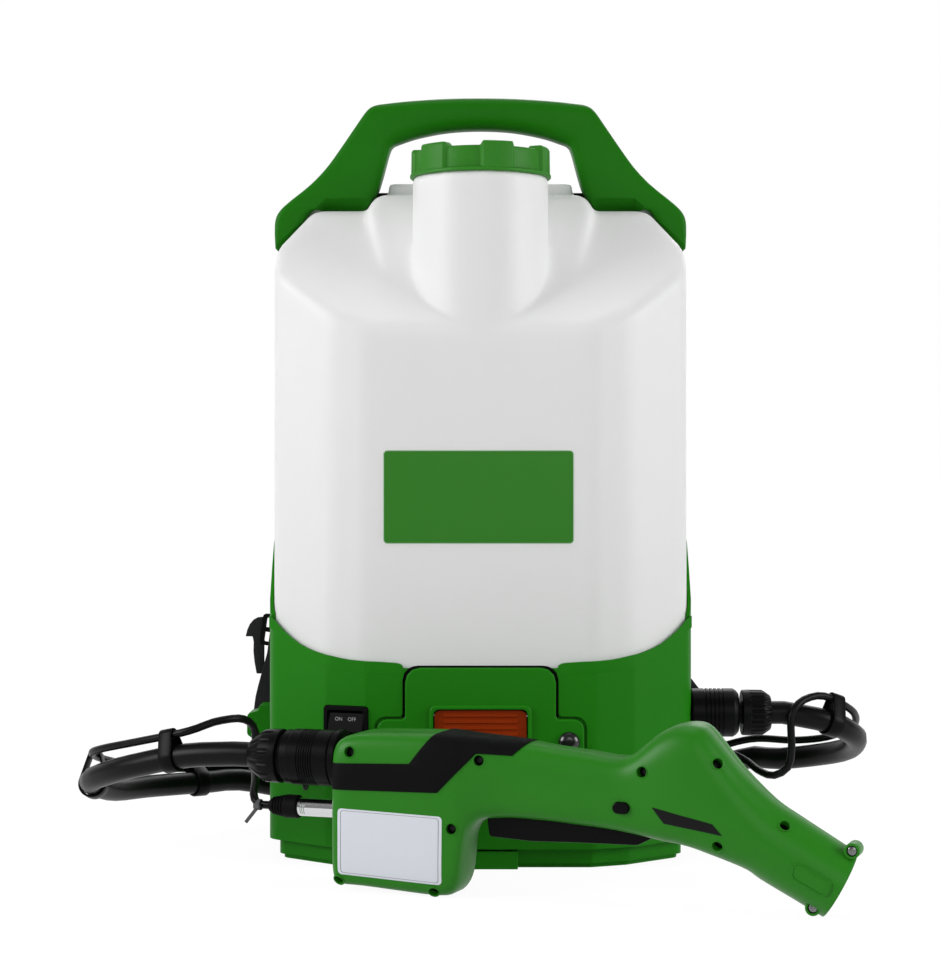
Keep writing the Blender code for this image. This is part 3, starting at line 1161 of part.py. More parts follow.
def make_clip(name, point, cable, along, black):
    """A band pulled round the hose and the cable beside it."""
    reach = crossing(cable, point, along) - point
    u = reach.normalized()
    frame = Matrix.LocRotScale(point, Matrix((u, along.cross(u), along)).transposed(), None)
    rings = []
    for grow in (SEAT + CLIP_THICKNESS, SEAT):
        big, small = HOSE_DIAMETER / 2 + grow, CABLE_DIAMETER / 2 + grow + CLIP_SLACK
        lean = math.acos((big - small) / reach.length)
        outline = [Vector((big * math.cos(a), big * math.sin(a))) for a in
                   (lean + (2 * math.pi - 2 * lean) * k / 14 for k in range(15))]
        outline += [Vector((reach.length + small * math.cos(a), small * math.sin(a))) for a in
                    (-lean + 2 * lean * k / 6 for k in range(7))]
        rings.append(outline)
    clip = finish(name, ring_prism(*rings, -CLIP_WIDTH / 2, CLIP_WIDTH / 2), black)
    clip.data.transform(frame)


# ---------------------------------------------------------------------------------------------
# Spray handle

GUN_RIBS = [  # low and high (x, z), half thickness, squareness
    (0.0000, 0.0090, 0.0000, 0.0890, 0.0200, 5.0), (0.0030, 0.0055, 0.0040, 0.0960, 0.0240, 5.0),
    (0.0100, 0.0040, 0.0140, 0.1005, 0.0260, 5.0), (0.0300, 0.0035, 0.0340, 0.1025, 0.0260, 5.0),
    (0.0550, 0.0018, 0.0580, 0.1030, 0.0260, 5.0), (0.0780, 0.0003, 0.0780, 0.1033, 0.0260, 5.0),
    (0.0890, 0.0012, 0.0880, 0.1030, 0.0255, 5.0), (0.0955, 0.0065, 0.0960, 0.1026, 0.0248, 4.8),
    (0.0992, 0.0150, 0.1015, 0.1022, 0.0240, 4.6), (0.1010, 0.0280, 0.1060, 0.1019, 0.0232, 4.4),
    (0.1022, 0.0400, 0.1125, 0.1015, 0.0222, 4.0), (0.1065, 0.0480, 0.1200, 0.1009, 0.0208, 3.6),
    (0.1150, 0.0500, 0.1270, 0.1004, 0.0195, 3.2), (0.1300, 0.0507, 0.1390, 0.0995, 0.0185, 3.0),
    (0.1500, 0.0500, 0.1570, 0.0970, 0.0180, 3.0), (0.1700, 0.0486, 0.1765, 0.0950, 0.0180, 3.0),
    (0.1900, 0.0470, 0.1950, 0.0927, 0.0185, 3.0), (0.2050, 0.0450, 0.2050, 0.0938, 0.0195, 3.0),
    (0.2170, 0.0430, 0.2145, 0.1010, 0.0210, 3.0), (0.2270, 0.0412, 0.2240, 0.1085, 0.0225, 3.0),
    (0.2350, 0.0402, 0.2350, 0.1140, 0.0235, 3.0), (0.2420, 0.0388, 0.2458, 0.1154, 0.0240, 3.0),
    (0.2477, 0.0372, 0.2541, 0.1126, 0.0240, 3.0), (0.2560, 0.0345, 0.2650, 0.1000, 0.0240, 2.8),
    (0.2667, 0.0309, 0.2762, 0.0869, 0.0240, 2.6), (0.2790, 0.0258, 0.2949, 0.0700, 0.0235, 2.2)]
GRIP_BAND = [(0.0035, 0.0661), (0.0832, 0.0672), (0.1080, 0.0927), (0.1307, 0.0917),
             (0.1500, 0.1100), (0.0840, 0.1100), (0.0642, 0.0848), (0.0035, 0.0829)]
TRIGGER_SHAPE = [  # (x, z, corner radius)
    (0.1115, 0.0382, 0.0020), (0.1400, 0.0366, 0.0), (0.1700, 0.0374, 0.0),
    (0.2092, 0.0377, 0.0060), (0.2216, 0.0440, 0.0030), (0.2222, 0.0545, 0.0030),
    (0.2120, 0.0575, 0.0020), (0.2030, 0.0545, 0.0010), (0.1600, 0.0545, 0.0),
    (0.1090, 0.0575, 0.0020)]
LUG_PLACES = [(0.3445, 0.0423), (0.3208, 0.0066)]
INNER_ROUTE = [(0.0600, 0.0830), (0.1200, 0.0860), (0.1800, 0.0820), (0.2350, 0.0780),
               (0.2750, 0.0580)]
HV_BOX = (0.020, 0.0075, 0.065, 0.0460)
HV_HALF = 0.0130


def gun_frame():
    return Matrix.Translation(GUN_PLACE) @ Matrix.Rotation(GUN_TURN, 4, "Z")


def gun_point(along, height, aside=0.0):
    return gun_frame() @ Vector((along, aside, height))


def put_in_gun(made):
    """Moves a piece from the spray handle's own frame to where the handle stands."""
    made.matrix_world = gun_frame() @ made.matrix_basis
    return made


def gun_ribs(mouth=0.0):
    """The handle's ribs. The muzzle's follow its axis, and may run on past its mouth."""
    ribs = [((x0, z0), (x1, z1), swell, squareness, (0.0, 0.0))
            for x0, z0, x1, z1, swell, squareness in GUN_RIBS]
    end = Vector(MUZZLE_END)
    axis, up = MUZZLE_AXIS.xz, MUZZLE_UP.xz
    stops = [MUZZLE_LENGTH, MUZZLE_LENGTH / 2, MUZZLE_LENGTH / 5, 0.0]
    for back in stops + ([-mouth] if mouth else []):
        radius = MUZZLE_RADIUS + MUZZLE_FLARE * max(back, 0.0) / MUZZLE_LENGTH
        bulge = axis * MUZZLE_BULGE * max(1 - max(back, 0.0) * 3 / MUZZLE_LENGTH, 0.0)
        middle = end - axis * back
        ribs.append((middle - up * radius, middle + up * radius, radius, 2.0, bulge))
    return ribs


def along_muzzle(made):
    """Turns a piece that was made about X so that it lies on the muzzle's axis."""
    end = Vector((MUZZLE_END[0], 0.0, MUZZLE_END[1]))
    made.data.transform(Matrix.Translation(end) @ Matrix.Rotation(MUZZLE_SLOPE, 4, "Y"))
    return made


def grip_prism(grow):
    grown = drawn_in([(x, z, 0.0) for x, z in GRIP_BAND], -grow)
    return prism(rounded(grown), -0.040, 0.040, "Y")


def trigger_outline():
    return rounded(TRIGGER_SHAPE, 2)


def make_gun_shells(green):
    """The two half shells: hollow, open at the muzzle, with bosses for the trigger's pin."""
    x, z = TRIGGER_PIVOT
    for name, side in (("gun_shell_near", -1), ("gun_shell_far", 1)):
        shell = finish(name, ribbed(gun_ribs(), side=side, seam=GUN_SEAM), green)
        lugs = []
        for lug_x, lug_z in LUG_PLACES:
            reach = sorted((side * GUN_SEAM, side * LUG_REACH))
            lug = rod("lug", LUG_RADIUS, *reach, (lug_x, lug_z), "Y", steps=16)
            lugs.append(lug)
        fuse(shell, *lugs)
        hollow = finish("hollow", ribbed(gun_ribs(0.010)[1:], inset=GUN_WALL))
        boss_out = TRIGGER_PIN_LENGTH / 2 - 0.0038
        boss = rod("boss", 0.0046, *sorted((side * boss_out, side * 0.030)), (x, z), "Y",
                   steps=16)
        middle = (SWITCH_LOW[0] + SWITCH_SIZE[0] / 2, SWITCH_LOW[1] + SWITCH_SIZE[1] / 2)
        clamp = rod("clamp", 0.0036, *sorted((side * (SWITCH_HALF + SEAT), side * 0.030)), middle,
                    "Y", steps=12)
        cut(hollow, boss, clamp)
        slot = block("slot", (TRIGGER_SLOT[0], -TRIGGER_WIDTH / 2 - SLIDE, 0.030),
                     (TRIGGER_SLOT[1], TRIGGER_WIDTH / 2 + SLIDE, 0.0600))
        swivel = rod("swivel_hole", SPIGOT_RADIUS + FIT, -OVERCUT, GUN_WALL * 3,
                     (0.0, SWIVEL_Z), "X")
        plug = rod("plug_hole", PLUG_RADIUS + FIT, -OVERCUT, GUN_WALL * 3, (0.0, PLUG_Z), "X",
                   steps=16)
        half_x, half_z = LOCK_SIZE[0] / 2 + SEAT, LOCK_SIZE[1] / 2 + SEAT
        lock = finish("lock_hole", prism(rectangle(LOCK_PLACE[0] - half_x, LOCK_PLACE[1] - half_z,
                                                   LOCK_PLACE[0] + half_x, LOCK_PLACE[1] + half_z,
                                                   half_z * 0.98), -0.04, 0.04, "Y"))
        pin_reach = TRIGGER_PIN_LENGTH / 2 + SEAT
        pin = rod("pin_hole", TRIGGER_PIN_RADIUS + SEAT, -pin_reach, pin_reach, (x, z), "Y",
                  steps=12)
        recess = finish("recess", grip_prism(SEAT))
        depth = GRIP_THICKNESS - GRIP_PROUD + SEAT
        cut(recess, finish("core", ribbed(gun_ribs(), inset=depth)))
        cut(shell, slot, swivel, plug, lock, pin, recess, hollow)
        put_in_gun(shell)


def make_grip(rubber):
    """The soft band moulded round the grip: down both sides and over the top."""
    grip = finish("grip_overmould", ribbed(gun_ribs(), inset=-GRIP_PROUD), rubber)
    combine(grip, [finish("outline", grip_prism(0.0))], "INTERSECT")
    cut(grip, finish("core", ribbed(gun_ribs(), inset=GRIP_THICKNESS - GRIP_PROUD)))
    put_in_gun(grip)


def make_trigger(black, steel, orange):
    """The long trigger, its pin, its return spring, its lock bolt and the switch above it."""
    x, z = TRIGGER_PIVOT
    half = TRIGGER_WIDTH / 2
    trigger = finish("trigger", prism(trigger_outline(), -half, half, "Y"), black)
    cut(trigger, rod("bore", TRIGGER_PIN_RADIUS + SEAT, -half - 0.001, half + 0.001, (x, z), "Y",
                     steps=12))
    hinge_at(trigger, (x, 0.0, z))
    put_in_gun(trigger)
    pin_half = TRIGGER_PIN_LENGTH / 2
    pin = rod("trigger_pin", TRIGGER_PIN_RADIUS, -pin_half, pin_half, (x, z), "Y", steel, 12)
    put_in_gun(pin)
    wire = coil_points(0.0028, half + 0.0012, half + 0.0034, 3, (x, z), "Y", per_turn=8)
    put_in_gun(tube("trigger_spring", wire, 0.00025, steel, resolution=1))
    lock_x, lock_z = LOCK_PLACE
    half_x, half_z = LOCK_SIZE[0] / 2, LOCK_SIZE[1] / 2
    bolt = finish("trigger_lock", soften(prism(rectangle(
        lock_x - half_x, lock_z - half_z, lock_x + half_x, lock_z + half_z, half_z * 0.98),
        -LOCK_LENGTH / 2, LOCK_LENGTH / 2, "Y"), 0.0008, 1, 70.0), black)
    hinge_at(bolt, (lock_x, 0.0, lock_z))
    put_in_gun(bolt)
    low_x, low_z = SWITCH_LOW
    switch = block("micro_switch", (low_x, -SWITCH_HALF, low_z),
                   (low_x + SWITCH_SIZE[0], SWITCH_HALF, low_z + SWITCH_SIZE[1]), black, 0.0006, 1)
    lever = block("lever", (low_x + 0.003, -0.0025, low_z - 0.0014),
                  (low_x + 0.018, 0.0025, low_z + 0.001))
    put_in_gun(fuse(switch, lever))


def make_gun_connections(black, steel, rubber, white):
    """What screws and plugs into the handle's rear, and the pipe inside it."""
    centre = (0.0, SWIVEL_Z)
    collar = [(COLLAR_START, SPIGOT_RADIUS + FIT), (COLLAR_START, SWIVEL_RADIUS + 0.0006),
              (COLLAR_START + COLLAR_LENGTH, SWIVEL_RADIUS + 0.0006),
              (COLLAR_START + COLLAR_LENGTH, SPIGOT_RADIUS + FIT)]
    put_in_gun(finish("gun_collar", turned(collar, centre, "X", 24, closed=True), black))
    end = SWIVEL_START + SWIVEL_LENGTH
    swivel = [(GUN_NUT_START + 0.0003, BORE_RADIUS), (GUN_NUT_START + 0.0003, SPIGOT_RADIUS),
              (SWIVEL_START, SPIGOT_RADIUS), (SWIVEL_START, SWIVEL_RADIUS - 0.0010),
              (SWIVEL_START + 0.0012, SWIVEL_RADIUS)]
    for k in range(3):
        groove = SWIVEL_START + 0.0130 + k * 0.0040
        swivel += [(groove, SWIVEL_RADIUS), (groove + 0.0004, SWIVEL_RADIUS - 0.0006),
                   (groove + 0.0009, SWIVEL_RADIUS - 0.0006), (groove + 0.0013, SWIVEL_RADIUS)]
    swivel += [(end - 0.0010, SWIVEL_RADIUS), (end, SWIVEL_RADIUS - 0.0010),
               (end, SPIGOT_RADIUS), (GUN_WALL * 3.4, SPIGOT_RADIUS),
               (GUN_WALL * 3.4, BORE_RADIUS)]
    put_in_gun(finish("swivel_body", turned(swivel, centre, "X", 24, closed=True), black))
    nut = finish("gun_nut", nut_form(GUN_NUT_START, GUN_NUT_LENGTH, GUN_NUT_RADIUS, centre,
                                     rear_cone=0.0035, front_cone=0.0012), black)
    hinge_at(nut, (GUN_NUT_START, *centre))
    put_in_gun(nut)
    plug = [(PLUG_START, PLUG_RADIUS - 0.0006), (PLUG_START + 0.0006, PLUG_RADIUS),
            (PLUG_END - 0.0006, PLUG_RADIUS), (PLUG_END, PLUG_RADIUS - 0.0006)]
    put_in_gun(finish("cable_plug", turned(plug, (0.0, PLUG_Z), "X", 20), steel))
    boot_end = BOOT_START + BOOT_LENGTH
    boot = [(BOOT_START, 0.0036), (boot_end - 0.0110, 0.0056), (boot_end - 0.0105, 0.0064),
            (boot_end - 0.0010, 0.0066), (boot_end, 0.0060)]
    put_in_gun(finish("plug_boot", turned(boot, (0.0, PLUG_Z), "X", 20), rubber))
    back = HOLDER_SETBACK + HOLDER_LENGTH
    stop = Vector((MUZZLE_END[0], 0.0, MUZZLE_END[1])) - MUZZLE_AXIS * (back + SEAT)
    route = [(GUN_WALL * 3.4 + SEAT, SWIVEL_Z), *INNER_ROUTE]
    start, *route = [Vector((x, 0.0, z)) for x, z in route]
    line = smooth_line([start + Vector((0.006, 0.0, 0.0)), *route, stop - MUZZLE_AXIS * 0.006],
                       0.016)
    put_in_gun(tube("inner_tube", [start, *line, stop], 0.0038, white))
    low_x, low_z, high_x, high_z = HV_BOX
    put_in_gun(block("hv_module", (low_x, -HV_HALF, low_z), (high_x, HV_HALF, high_z), white,
                     0.002))


def make_nozzle(black, steel):
    """The holder in the muzzle, the dial that turns on it, and the ring round the dial."""
    back, front = -HOLDER_SETBACK - HOLDER_LENGTH, -HOLDER_SETBACK
    reach = MUZZLE_RADIUS - GUN_WALL - FIT / 2
    hub = 0.0042
    profile = [(back, BORE_RADIUS / 2), (back, reach), (front, reach), (front, hub),
               (front + DIAL_LENGTH + 0.0010, hub), (front + DIAL_LENGTH + 0.0010, 0.0012),
               (front + DIAL_LENGTH - 0.0010, BORE_RADIUS / 2)]
    holder = finish("nozzle_holder", turned(profile, (0.0, 0.0), "X", 24, closed=True), black)
    put_in_gun(along_muzzle(holder))
    start = front + SEAT
    dial_profile = [(start, hub + SEAT), (start, DIAL_RADIUS), (start + DIAL_LENGTH, DIAL_RADIUS),
                    (start + DIAL_LENGTH, hub + SEAT)]
    dial = finish("nozzle_dial", turned(dial_profile, (0.0, 0.0), "X", 24, closed=True,
                                        flutes=(12, 0.0009, DIAL_RADIUS / 2)), black)
    put_in_gun(along_muzzle(dial))
    ring = [(start, reach - 0.0020), (start, reach - SEAT), (start + 0.0075, reach - SEAT),
            (start + 0.0075, reach - 0.0020)]
    electrode = finish("electrode_ring", turned(ring, (0.0, 0.0), "X", 24, closed=True), steel)
    put_in_gun(along_muzzle(electrode))


# ---------------------------------------------------------------------------------------------
# Back frame and harness

STRAP_ROUTE = [  # (x, distance behind the frame, z)
    (0.0640, 0.0068, 0.4660), (0.0665, 0.0338, 0.4700), (0.0740, 0.0588, 0.4400),
    (0.0820, 0.0718, 0.3800), (0.0970, 0.0708, 0.3100), (0.1170, 0.0528, 0.2450),
    (0.1330, 0.0308, 0.2050)]
BUCKLE_PLACE = (0.1495, 0.0163, 0.1500)
STRAP_TUCK = 0.0100      # how much nearer the middle the right strap hangs at its foot
WEB_LEAN = (0.1300, -0.0500, -1.0000)    # the webbing's direction at the buckle
WEB_STRAIGHT = 0.0360
BUCKLE_SIZE = (0.0340, 0.0240, 0.0032)


def make_back_frame(black):
    """The moulded back frame: a pan with a flange round it, slots for straps, and two ribs."""
    half, wall = FRAME_WIDTH / 2, FRAME_WALL
    low = DECK_TOP + SEAT
    pan = block("back_frame", (-half, FRAME_FRONT, low), (half, FRAME_BACK, FRAME_TOP), black)
    scoop = block("scoop", (-half + wall, FRAME_FRONT - OVERCUT, low + wall),
                  (half - wall, FRAME_BACK - wall, FRAME_TOP - wall))
    slots = []
    for side in (-1, 1):
        x = side * 0.0660
        slots.append(block("slot", (x - 0.0270, FRAME_BACK - 2 * wall, 0.4500),
                           (x + 0.0270, FRAME_BACK + OVERCUT, 0.4580)))
        slots.append(block("side_slot", (side * (half - 0.012) - 0.004, FRAME_BACK - 2 * wall,
                                         0.200),
                           (side * (half - 0.012) + 0.004, FRAME_BACK + OVERCUT, 0.240)))
    cut(pan, scoop, *slots)
    ribs = [block("rib", (side * 0.0300 - 0.0015, FRAME_FRONT + 0.004, low + 0.001),
                  (side * 0.0300 + 0.0015, FRAME_BACK - 0.001, FRAME_TOP - 0.001))
            for side in (-1, 1)]
    return fuse(pan, *ribs)


def make_harness(fabric, webbing, black, green):
    """The back pad, two shoulder pads, and on each side webbing, a buckle and an anchor."""
    back = PAD_FRONT + BACK_PAD_THICKNESS
    half = BACK_PAD_WIDTH / 2
    block("back_pad", (-half, PAD_FRONT, BACK_PAD_LOW), (half, back, BACK_PAD_HIGH), fabric,
          0.007, 2)
    for name, side in (("left", -1), ("right", 1)):
        tuck = STRAP_TUCK if side > 0 else 0.0
        foot = STRAP_ROUTE[-1][2]
        route = []
        for x, behind, z in STRAP_ROUTE:
            drop = (STRAP_ROUTE[0][2] - z) / (STRAP_ROUTE[0][2] - foot)
            route.append(Vector(((x - tuck * max(drop, 0.0)) * side, FRAME_BACK + behind, z)))
        top = Vector((route[0].x, PAD_FRONT, route[0].z))
        pad = [top, *smooth_line(route, 0.022)]
        band(f"shoulder_pad_{name}", pad, STRAP_WIDTH, STRAP_THICKNESS, fabric, edge=0.12)
        x, behind, z = BUCKLE_PLACE
        buckle = Vector(((x - tuck) * side, FRAME_BACK + behind, z))
        lean = Vector((WEB_LEAN[0] * side, *WEB_LEAN[1:])).normalized()
        along = (pad[-1] - pad[-2]).normalized()
        start = pad[-1] + along * SEAT
        upper = smooth_line([start + along * 0.005, buckle - lean * WEB_STRAIGHT / 2], 0.014)
        slot = Vector(((BASE_SIDE + SEAT + ANCHOR_REACH / 2) * side, ANCHOR_Y + ANCHOR_DEPTH / 2,
                       (ANCHOR_LOW + ANCHOR_HIGH) / 2))
        back = Vector((0.0, 0.0080, 0.0))
        lower = smooth_line([buckle + lean * WEB_STRAIGHT / 2, slot + back * 1.8
                             + Vector((0.0, 0.0, 0.014)), slot + back], 0.009)
        band(f"webbing_{name}", [start, *upper, *lower, slot - back + Vector((0.0, SEAT, 0.0))],
             WEB_WIDTH, WEB_THICKNESS, webbing)
        make_buckle(f"buckle_{name}", buckle, lean, black)
        make_anchor(f"strap_anchor_{name}", side, green)


def make_buckle(name, point, along, black):
    """A ladder lock on the outer face of the webbing: a frame with a bar across it."""
    width, height, depth = BUCKLE_SIZE
    frame = finish(name, ring_prism(rectangle(-width / 2, -height / 2, width / 2, height / 2,
                                              0.003),
                                    rectangle(-width / 2 + 0.0035, -height / 2 + 0.003,
                                              width / 2 - 0.0035, height / 2 - 0.003, 0.001),
                                    -depth / 2, depth / 2), black)
    fuse(frame, block("bar", (-width / 2 + 0.002, -0.0018, -depth / 2 + 0.0003),
                      (width / 2 - 0.002, 0.0018, depth / 2 - 0.0003)))
    across = Vector((1.0, 0.0, 0.0))
    across = (across - along * across.dot(along)).normalized()
    out = across.cross(along)
    out = out if out.y > 0 else -out
    turn = Matrix((across, out.cross(across), out)).transposed()
    offset = out * (WEB_THICKNESS / 2 + SEAT + depth / 2)
    frame.data.transform(Matrix.LocRotScale(point + offset, turn, None))


def make_anchor(name, side, green):
    """The stepped lug on the base's side. The webbing ends behind it, in its slot."""
    inner = BASE_SIDE + SEAT
    front, back = ANCHOR_Y - ANCHOR_DEPTH / 2, ANCHOR_Y + ANCHOR_DEPTH / 2
    outline = rounded([(inner, ANCHOR_LOW, 0.0), (inner + ANCHOR_REACH * 0.62, ANCHOR_LOW, 0.002),
                       (inner + ANCHOR_REACH, ANCHOR_LOW + 0.007, 0.003),
                       (inner + ANCHOR_REACH, ANCHOR_HIGH - 0.006, 0.003),
                       (inner + ANCHOR_REACH * 0.66, ANCHOR_HIGH - 0.004, 0.0),
                       (inner + ANCHOR_REACH * 0.62, ANCHOR_HIGH, 0.001),
                       (inner, ANCHOR_HIGH, 0.0)], 2)
    lug = finish(name, prism([(side * u, v) for u, v in outline], front, back, "Y"), green)
    x, z = side * (inner + ANCHOR_REACH / 2), (ANCHOR_LOW + ANCHOR_HIGH) / 2
    half, tall = WEB_WIDTH / 2 + SEAT, WEB_THICKNESS / 2 + SEAT
    slot = block("slot", (x - half, back - 0.0080, z - tall), (x + half, back + OVERCUT, z + tall))
    return cut(lug, slot)


# ---------------------------------------------------------------------------------------------


def main():
    clear_scene()
    green = paint("green_plastic", (0.035, 0.215, 0.018), 0.42)
    green_cap = paint("green_cap", (0.050, 0.245, 0.030), 0.45)
    green_gun = paint("green_handle", (0.038, 0.250, 0.020), 0.35)
    white = paint("white_tank", (0.800, 0.800, 0.790), 0.38)
    black = paint("black_plastic", (0.012, 0.012, 0.013), 0.42)
    rubber = paint("black_rubber", (0.014, 0.014, 0.014), 0.62)
    orange = paint("orange_plastic", (0.600, 0.085, 0.008), 0.40)
    steel = paint("bright_steel", (0.620, 0.620, 0.630), 0.22, 1.0)
    brass = paint("brass", (0.600, 0.420, 0.160), 0.35, 1.0)
    fabric = paint("pad_fabric", (0.016, 0.016, 0.017), 0.90)
    webbing = paint("webbing", (0.018, 0.018, 0.019), 0.80)
    board = paint("circuit_board", (0.010, 0.110, 0.045), 0.50)

    make_base_shell(green)
    make_base_plate(green)
    make_front_panel(green)
    make_latch(orange, steel)
    make_port_cap(rubber)
    make_power_switch(black)
    make_tank_socket(black)
    make_pump(steel, black, brass)
    make_pipes(white)
    make_battery(black)
    make_board(board)
    make_tank(white)
    make_outlet_valve(black, brass, steel)
    make_cap(green_cap, rubber)
    make_handle(green)
    make_outlet(black)
    make_hose_and_cable(black, rubber)
    make_gun_shells(green_gun)
    make_grip(rubber)
    make_trigger(black, steel, orange)
    make_gun_connections(black, steel, rubber, white)
    make_nozzle(black, steel)
    make_back_frame(black)
    make_harness(fabric, webbing, black, green)


main()
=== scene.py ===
"""The look of a battery backpack sprayer: its finishes, its soft goods, its hose and its stage.

The CAD model is the frame. Each operator dresses one group of its pieces, and the pieces that it
adds ride on the CAD's bodies.
"""

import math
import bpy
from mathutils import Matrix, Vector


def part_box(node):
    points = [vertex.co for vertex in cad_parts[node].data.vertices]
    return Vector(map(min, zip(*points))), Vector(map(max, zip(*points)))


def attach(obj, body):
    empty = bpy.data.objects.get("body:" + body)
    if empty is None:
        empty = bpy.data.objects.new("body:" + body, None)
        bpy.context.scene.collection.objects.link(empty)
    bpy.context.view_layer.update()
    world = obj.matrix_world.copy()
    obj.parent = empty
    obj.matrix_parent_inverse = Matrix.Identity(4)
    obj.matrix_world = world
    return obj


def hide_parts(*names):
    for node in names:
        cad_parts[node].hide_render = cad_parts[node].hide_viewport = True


bl_info = {
    "name": "Backpack Sprayer Dressing",
    "version": (1, 0, 0),
    "blender": (4, 5, 0),
    "location": "3D View > Sidebar > Sprayer",
    "description": "Builds the finished look of a battery backpack sprayer on its CAD model",
    "category": "Object",
}

import bmesh
import bpy
from bpy.props import FloatProperty, FloatVectorProperty, IntProperty, PointerProperty
from mathutils import Matrix, Vector

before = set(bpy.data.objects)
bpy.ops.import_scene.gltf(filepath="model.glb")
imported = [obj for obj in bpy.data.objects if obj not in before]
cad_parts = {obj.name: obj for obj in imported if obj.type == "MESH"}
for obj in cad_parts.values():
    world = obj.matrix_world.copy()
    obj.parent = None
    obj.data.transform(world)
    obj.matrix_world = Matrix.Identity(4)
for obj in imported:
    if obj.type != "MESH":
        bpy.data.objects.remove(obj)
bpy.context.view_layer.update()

# ---------------------------------------------------------------------------------------------
# Places that come from the CAD model

SPRAY_PLACE = Vector((-0.0975, -0.1405, 0.0))   # of the spray handle's own frame
SPRAY_TURN = math.radians(-19.4)
SPRAY = Matrix.Translation(SPRAY_PLACE) @ Matrix.Rotation(SPRAY_TURN, 4, "Z")
SWIVEL_Z = 0.0830
PLUG_Z = 0.0500
HOSE_STEP = 0.012                         # between the points of the hose's line
CABLE_STEP = 0.006
HOSE_START = (-0.0545, -0.0705)           # along the swivel, with a straight lead
CABLE_END = (-0.0526, -0.0434)            # along the plug's boot
OUTLET_PLACE = (0.0, -0.0200, 0.1005)     # of the axis of the hose's outlet
GLAND_PLACE = (0.004, 0.070)              # y and z of the cable's gland

HOSE_ROUTE = [
    (-0.1974, -0.1030, 0.0801), (-0.2333, -0.0830, 0.0712), (-0.2546, -0.0650, 0.0641),
    (-0.2734, -0.0350, 0.0539), (-0.2650, 0.0050, 0.0425), (-0.2422, 0.0450, 0.0396),
    (-0.2056, 0.0800, 0.0379), (-0.1778, 0.1000, 0.0365), (-0.1200, 0.1220, 0.0220),
    (-0.0600, 0.1320, 0.0120), (0.0000, 0.1350, 0.0092), (0.0300, 0.1360, 0.0095),
    (0.0800, 0.1350, 0.0160), (0.1500, 0.1300, 0.0340), (0.2067, 0.1150, 0.0521),
    (0.2247, 0.1000, 0.0529), (0.2545, 0.0750, 0.0592), (0.2707, 0.0450, 0.0672),
    (0.2712, 0.0130, 0.0786), (0.2603, -0.0070, 0.0873), (0.2473, -0.0170, 0.0938),
    (0.2263, -0.0200, 0.0983)]
CABLE_ROUTE = [
    (0.1900, 0.0010, 0.0640), (0.1980, -0.0130, 0.0585), (0.2069, -0.0250, 0.0565),
    (0.2165, -0.0300, 0.0631), (0.2186, -0.0330, 0.0765), (0.2182, -0.0335, 0.0881),
    (0.2182, -0.0335, 0.0993), (0.2219, -0.0320, 0.1059), (0.2290, -0.0265, 0.1105),
    (0.2400, -0.0205, 0.1125), (0.2505, -0.0140, 0.1095), (0.2599, -0.0050, 0.1043),
    (0.2704, 0.0130, 0.0960), (0.2735, 0.0400, 0.0850), (0.2612, 0.0720, 0.0731),
    (0.2378, 0.0920, 0.0680), (0.2100, 0.1110, 0.0670), (0.1850, 0.1210, 0.0600),
    (0.1500, 0.1310, 0.0480), (0.1150, 0.1360, 0.0370), (0.0800, 0.1365, 0.0280),
    (0.0300, 0.1370, 0.0212), (0.0000, 0.1360, 0.0208), (-0.0600, 0.1330, 0.0237),
    (-0.1200, 0.1230, 0.0337), (-0.1778, 0.1075, 0.0455), (-0.2050, 0.0890, 0.0475),
    (-0.2300, 0.0650, 0.0500), (-0.2530, 0.0350, 0.0560), (-0.2700, 0.0000, 0.0650),
    (-0.2725, -0.0350, 0.0733), (-0.2632, -0.0550, 0.0788), (-0.2356, -0.0800, 0.0864),
    (-0.2035, -0.1010, 0.0946), (-0.1904, -0.1040, 0.0985), (-0.1800, -0.1020, 0.1023),
    (-0.1691, -0.0970, 0.1040), (-0.1630, -0.0910, 0.1037), (-0.1577, -0.0830, 0.1008),
    (-0.1545, -0.0760, 0.0945), (-0.1540, -0.0740, 0.0860), (-0.1540, -0.0770, 0.0760),
    (-0.1530, -0.0880, 0.0680), (-0.1515, -0.1040, 0.0615), (-0.1512, -0.1165, 0.0545)]
CLIP_GAP = 0.0003
CLIP_THICK = 0.0016
CLIP_HALF = 0.0052       # half of its width along the hose
HOSE_CLIPS = [   # piece, a place near it, and the node that it stands for
    ("clip_right", (0.2455, -0.0100, 0.0980), "hose_clip_right"),
    ("clip_left", (-0.2044, -0.0991, 0.0784), "hose_clip_left"),
    ("clip_end", (-0.2700, -0.0240, 0.0500), "hose_clip_end"),
    ("hose_clip_rear", (-0.2110, 0.0757, 0.0381), None)]

BASE_CORNERS = [(0.0780, -0.0850), (0.1060, -0.0735), (0.14825, -0.0380)]
CUP_INSET = 0.0031       # of the tank inside the outline of the base

TANK_LOW, TANK_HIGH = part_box("tank_shell")
TANK_TOP = 0.4599
TANK_WALL = 0.0030
FACE_TOP = 0.3713
SLOPE_RUN = 0.0932
CUT_DROP = 0.0320
CUT_RUN = 0.0245
NECK_Y = -0.0342
NECK_RADIUS = 0.0475
NECK_TOP = TANK_TOP + 0.0160
MOUTH_RADIUS = 0.0440
MOUTH_TOP = NECK_TOP + 0.0136
APRON_RISE = 0.0116
APRON_DROP = 0.060
APRON_HALF = (0.0748, 0.0825, 0.0700)  # half widths at its top, its foot and its low end
APRON_LOW = (-0.0433, 0.4080)          # y and z where its slope meets the tank's
LEDGE_HALF = 0.067
LEDGE_FRONT = 0.0281
LEDGE_TOP = 0.4814
LEDGE_SINK = 0.012                     # of the ledge in the tank's top
POCKET = (0.037, 0.0125, 0.0185)       # half width, depth and height of the latch's recess
POCKET_WALL = 0.0075                   # of the tank behind that recess
OUTLET_Y = -0.015
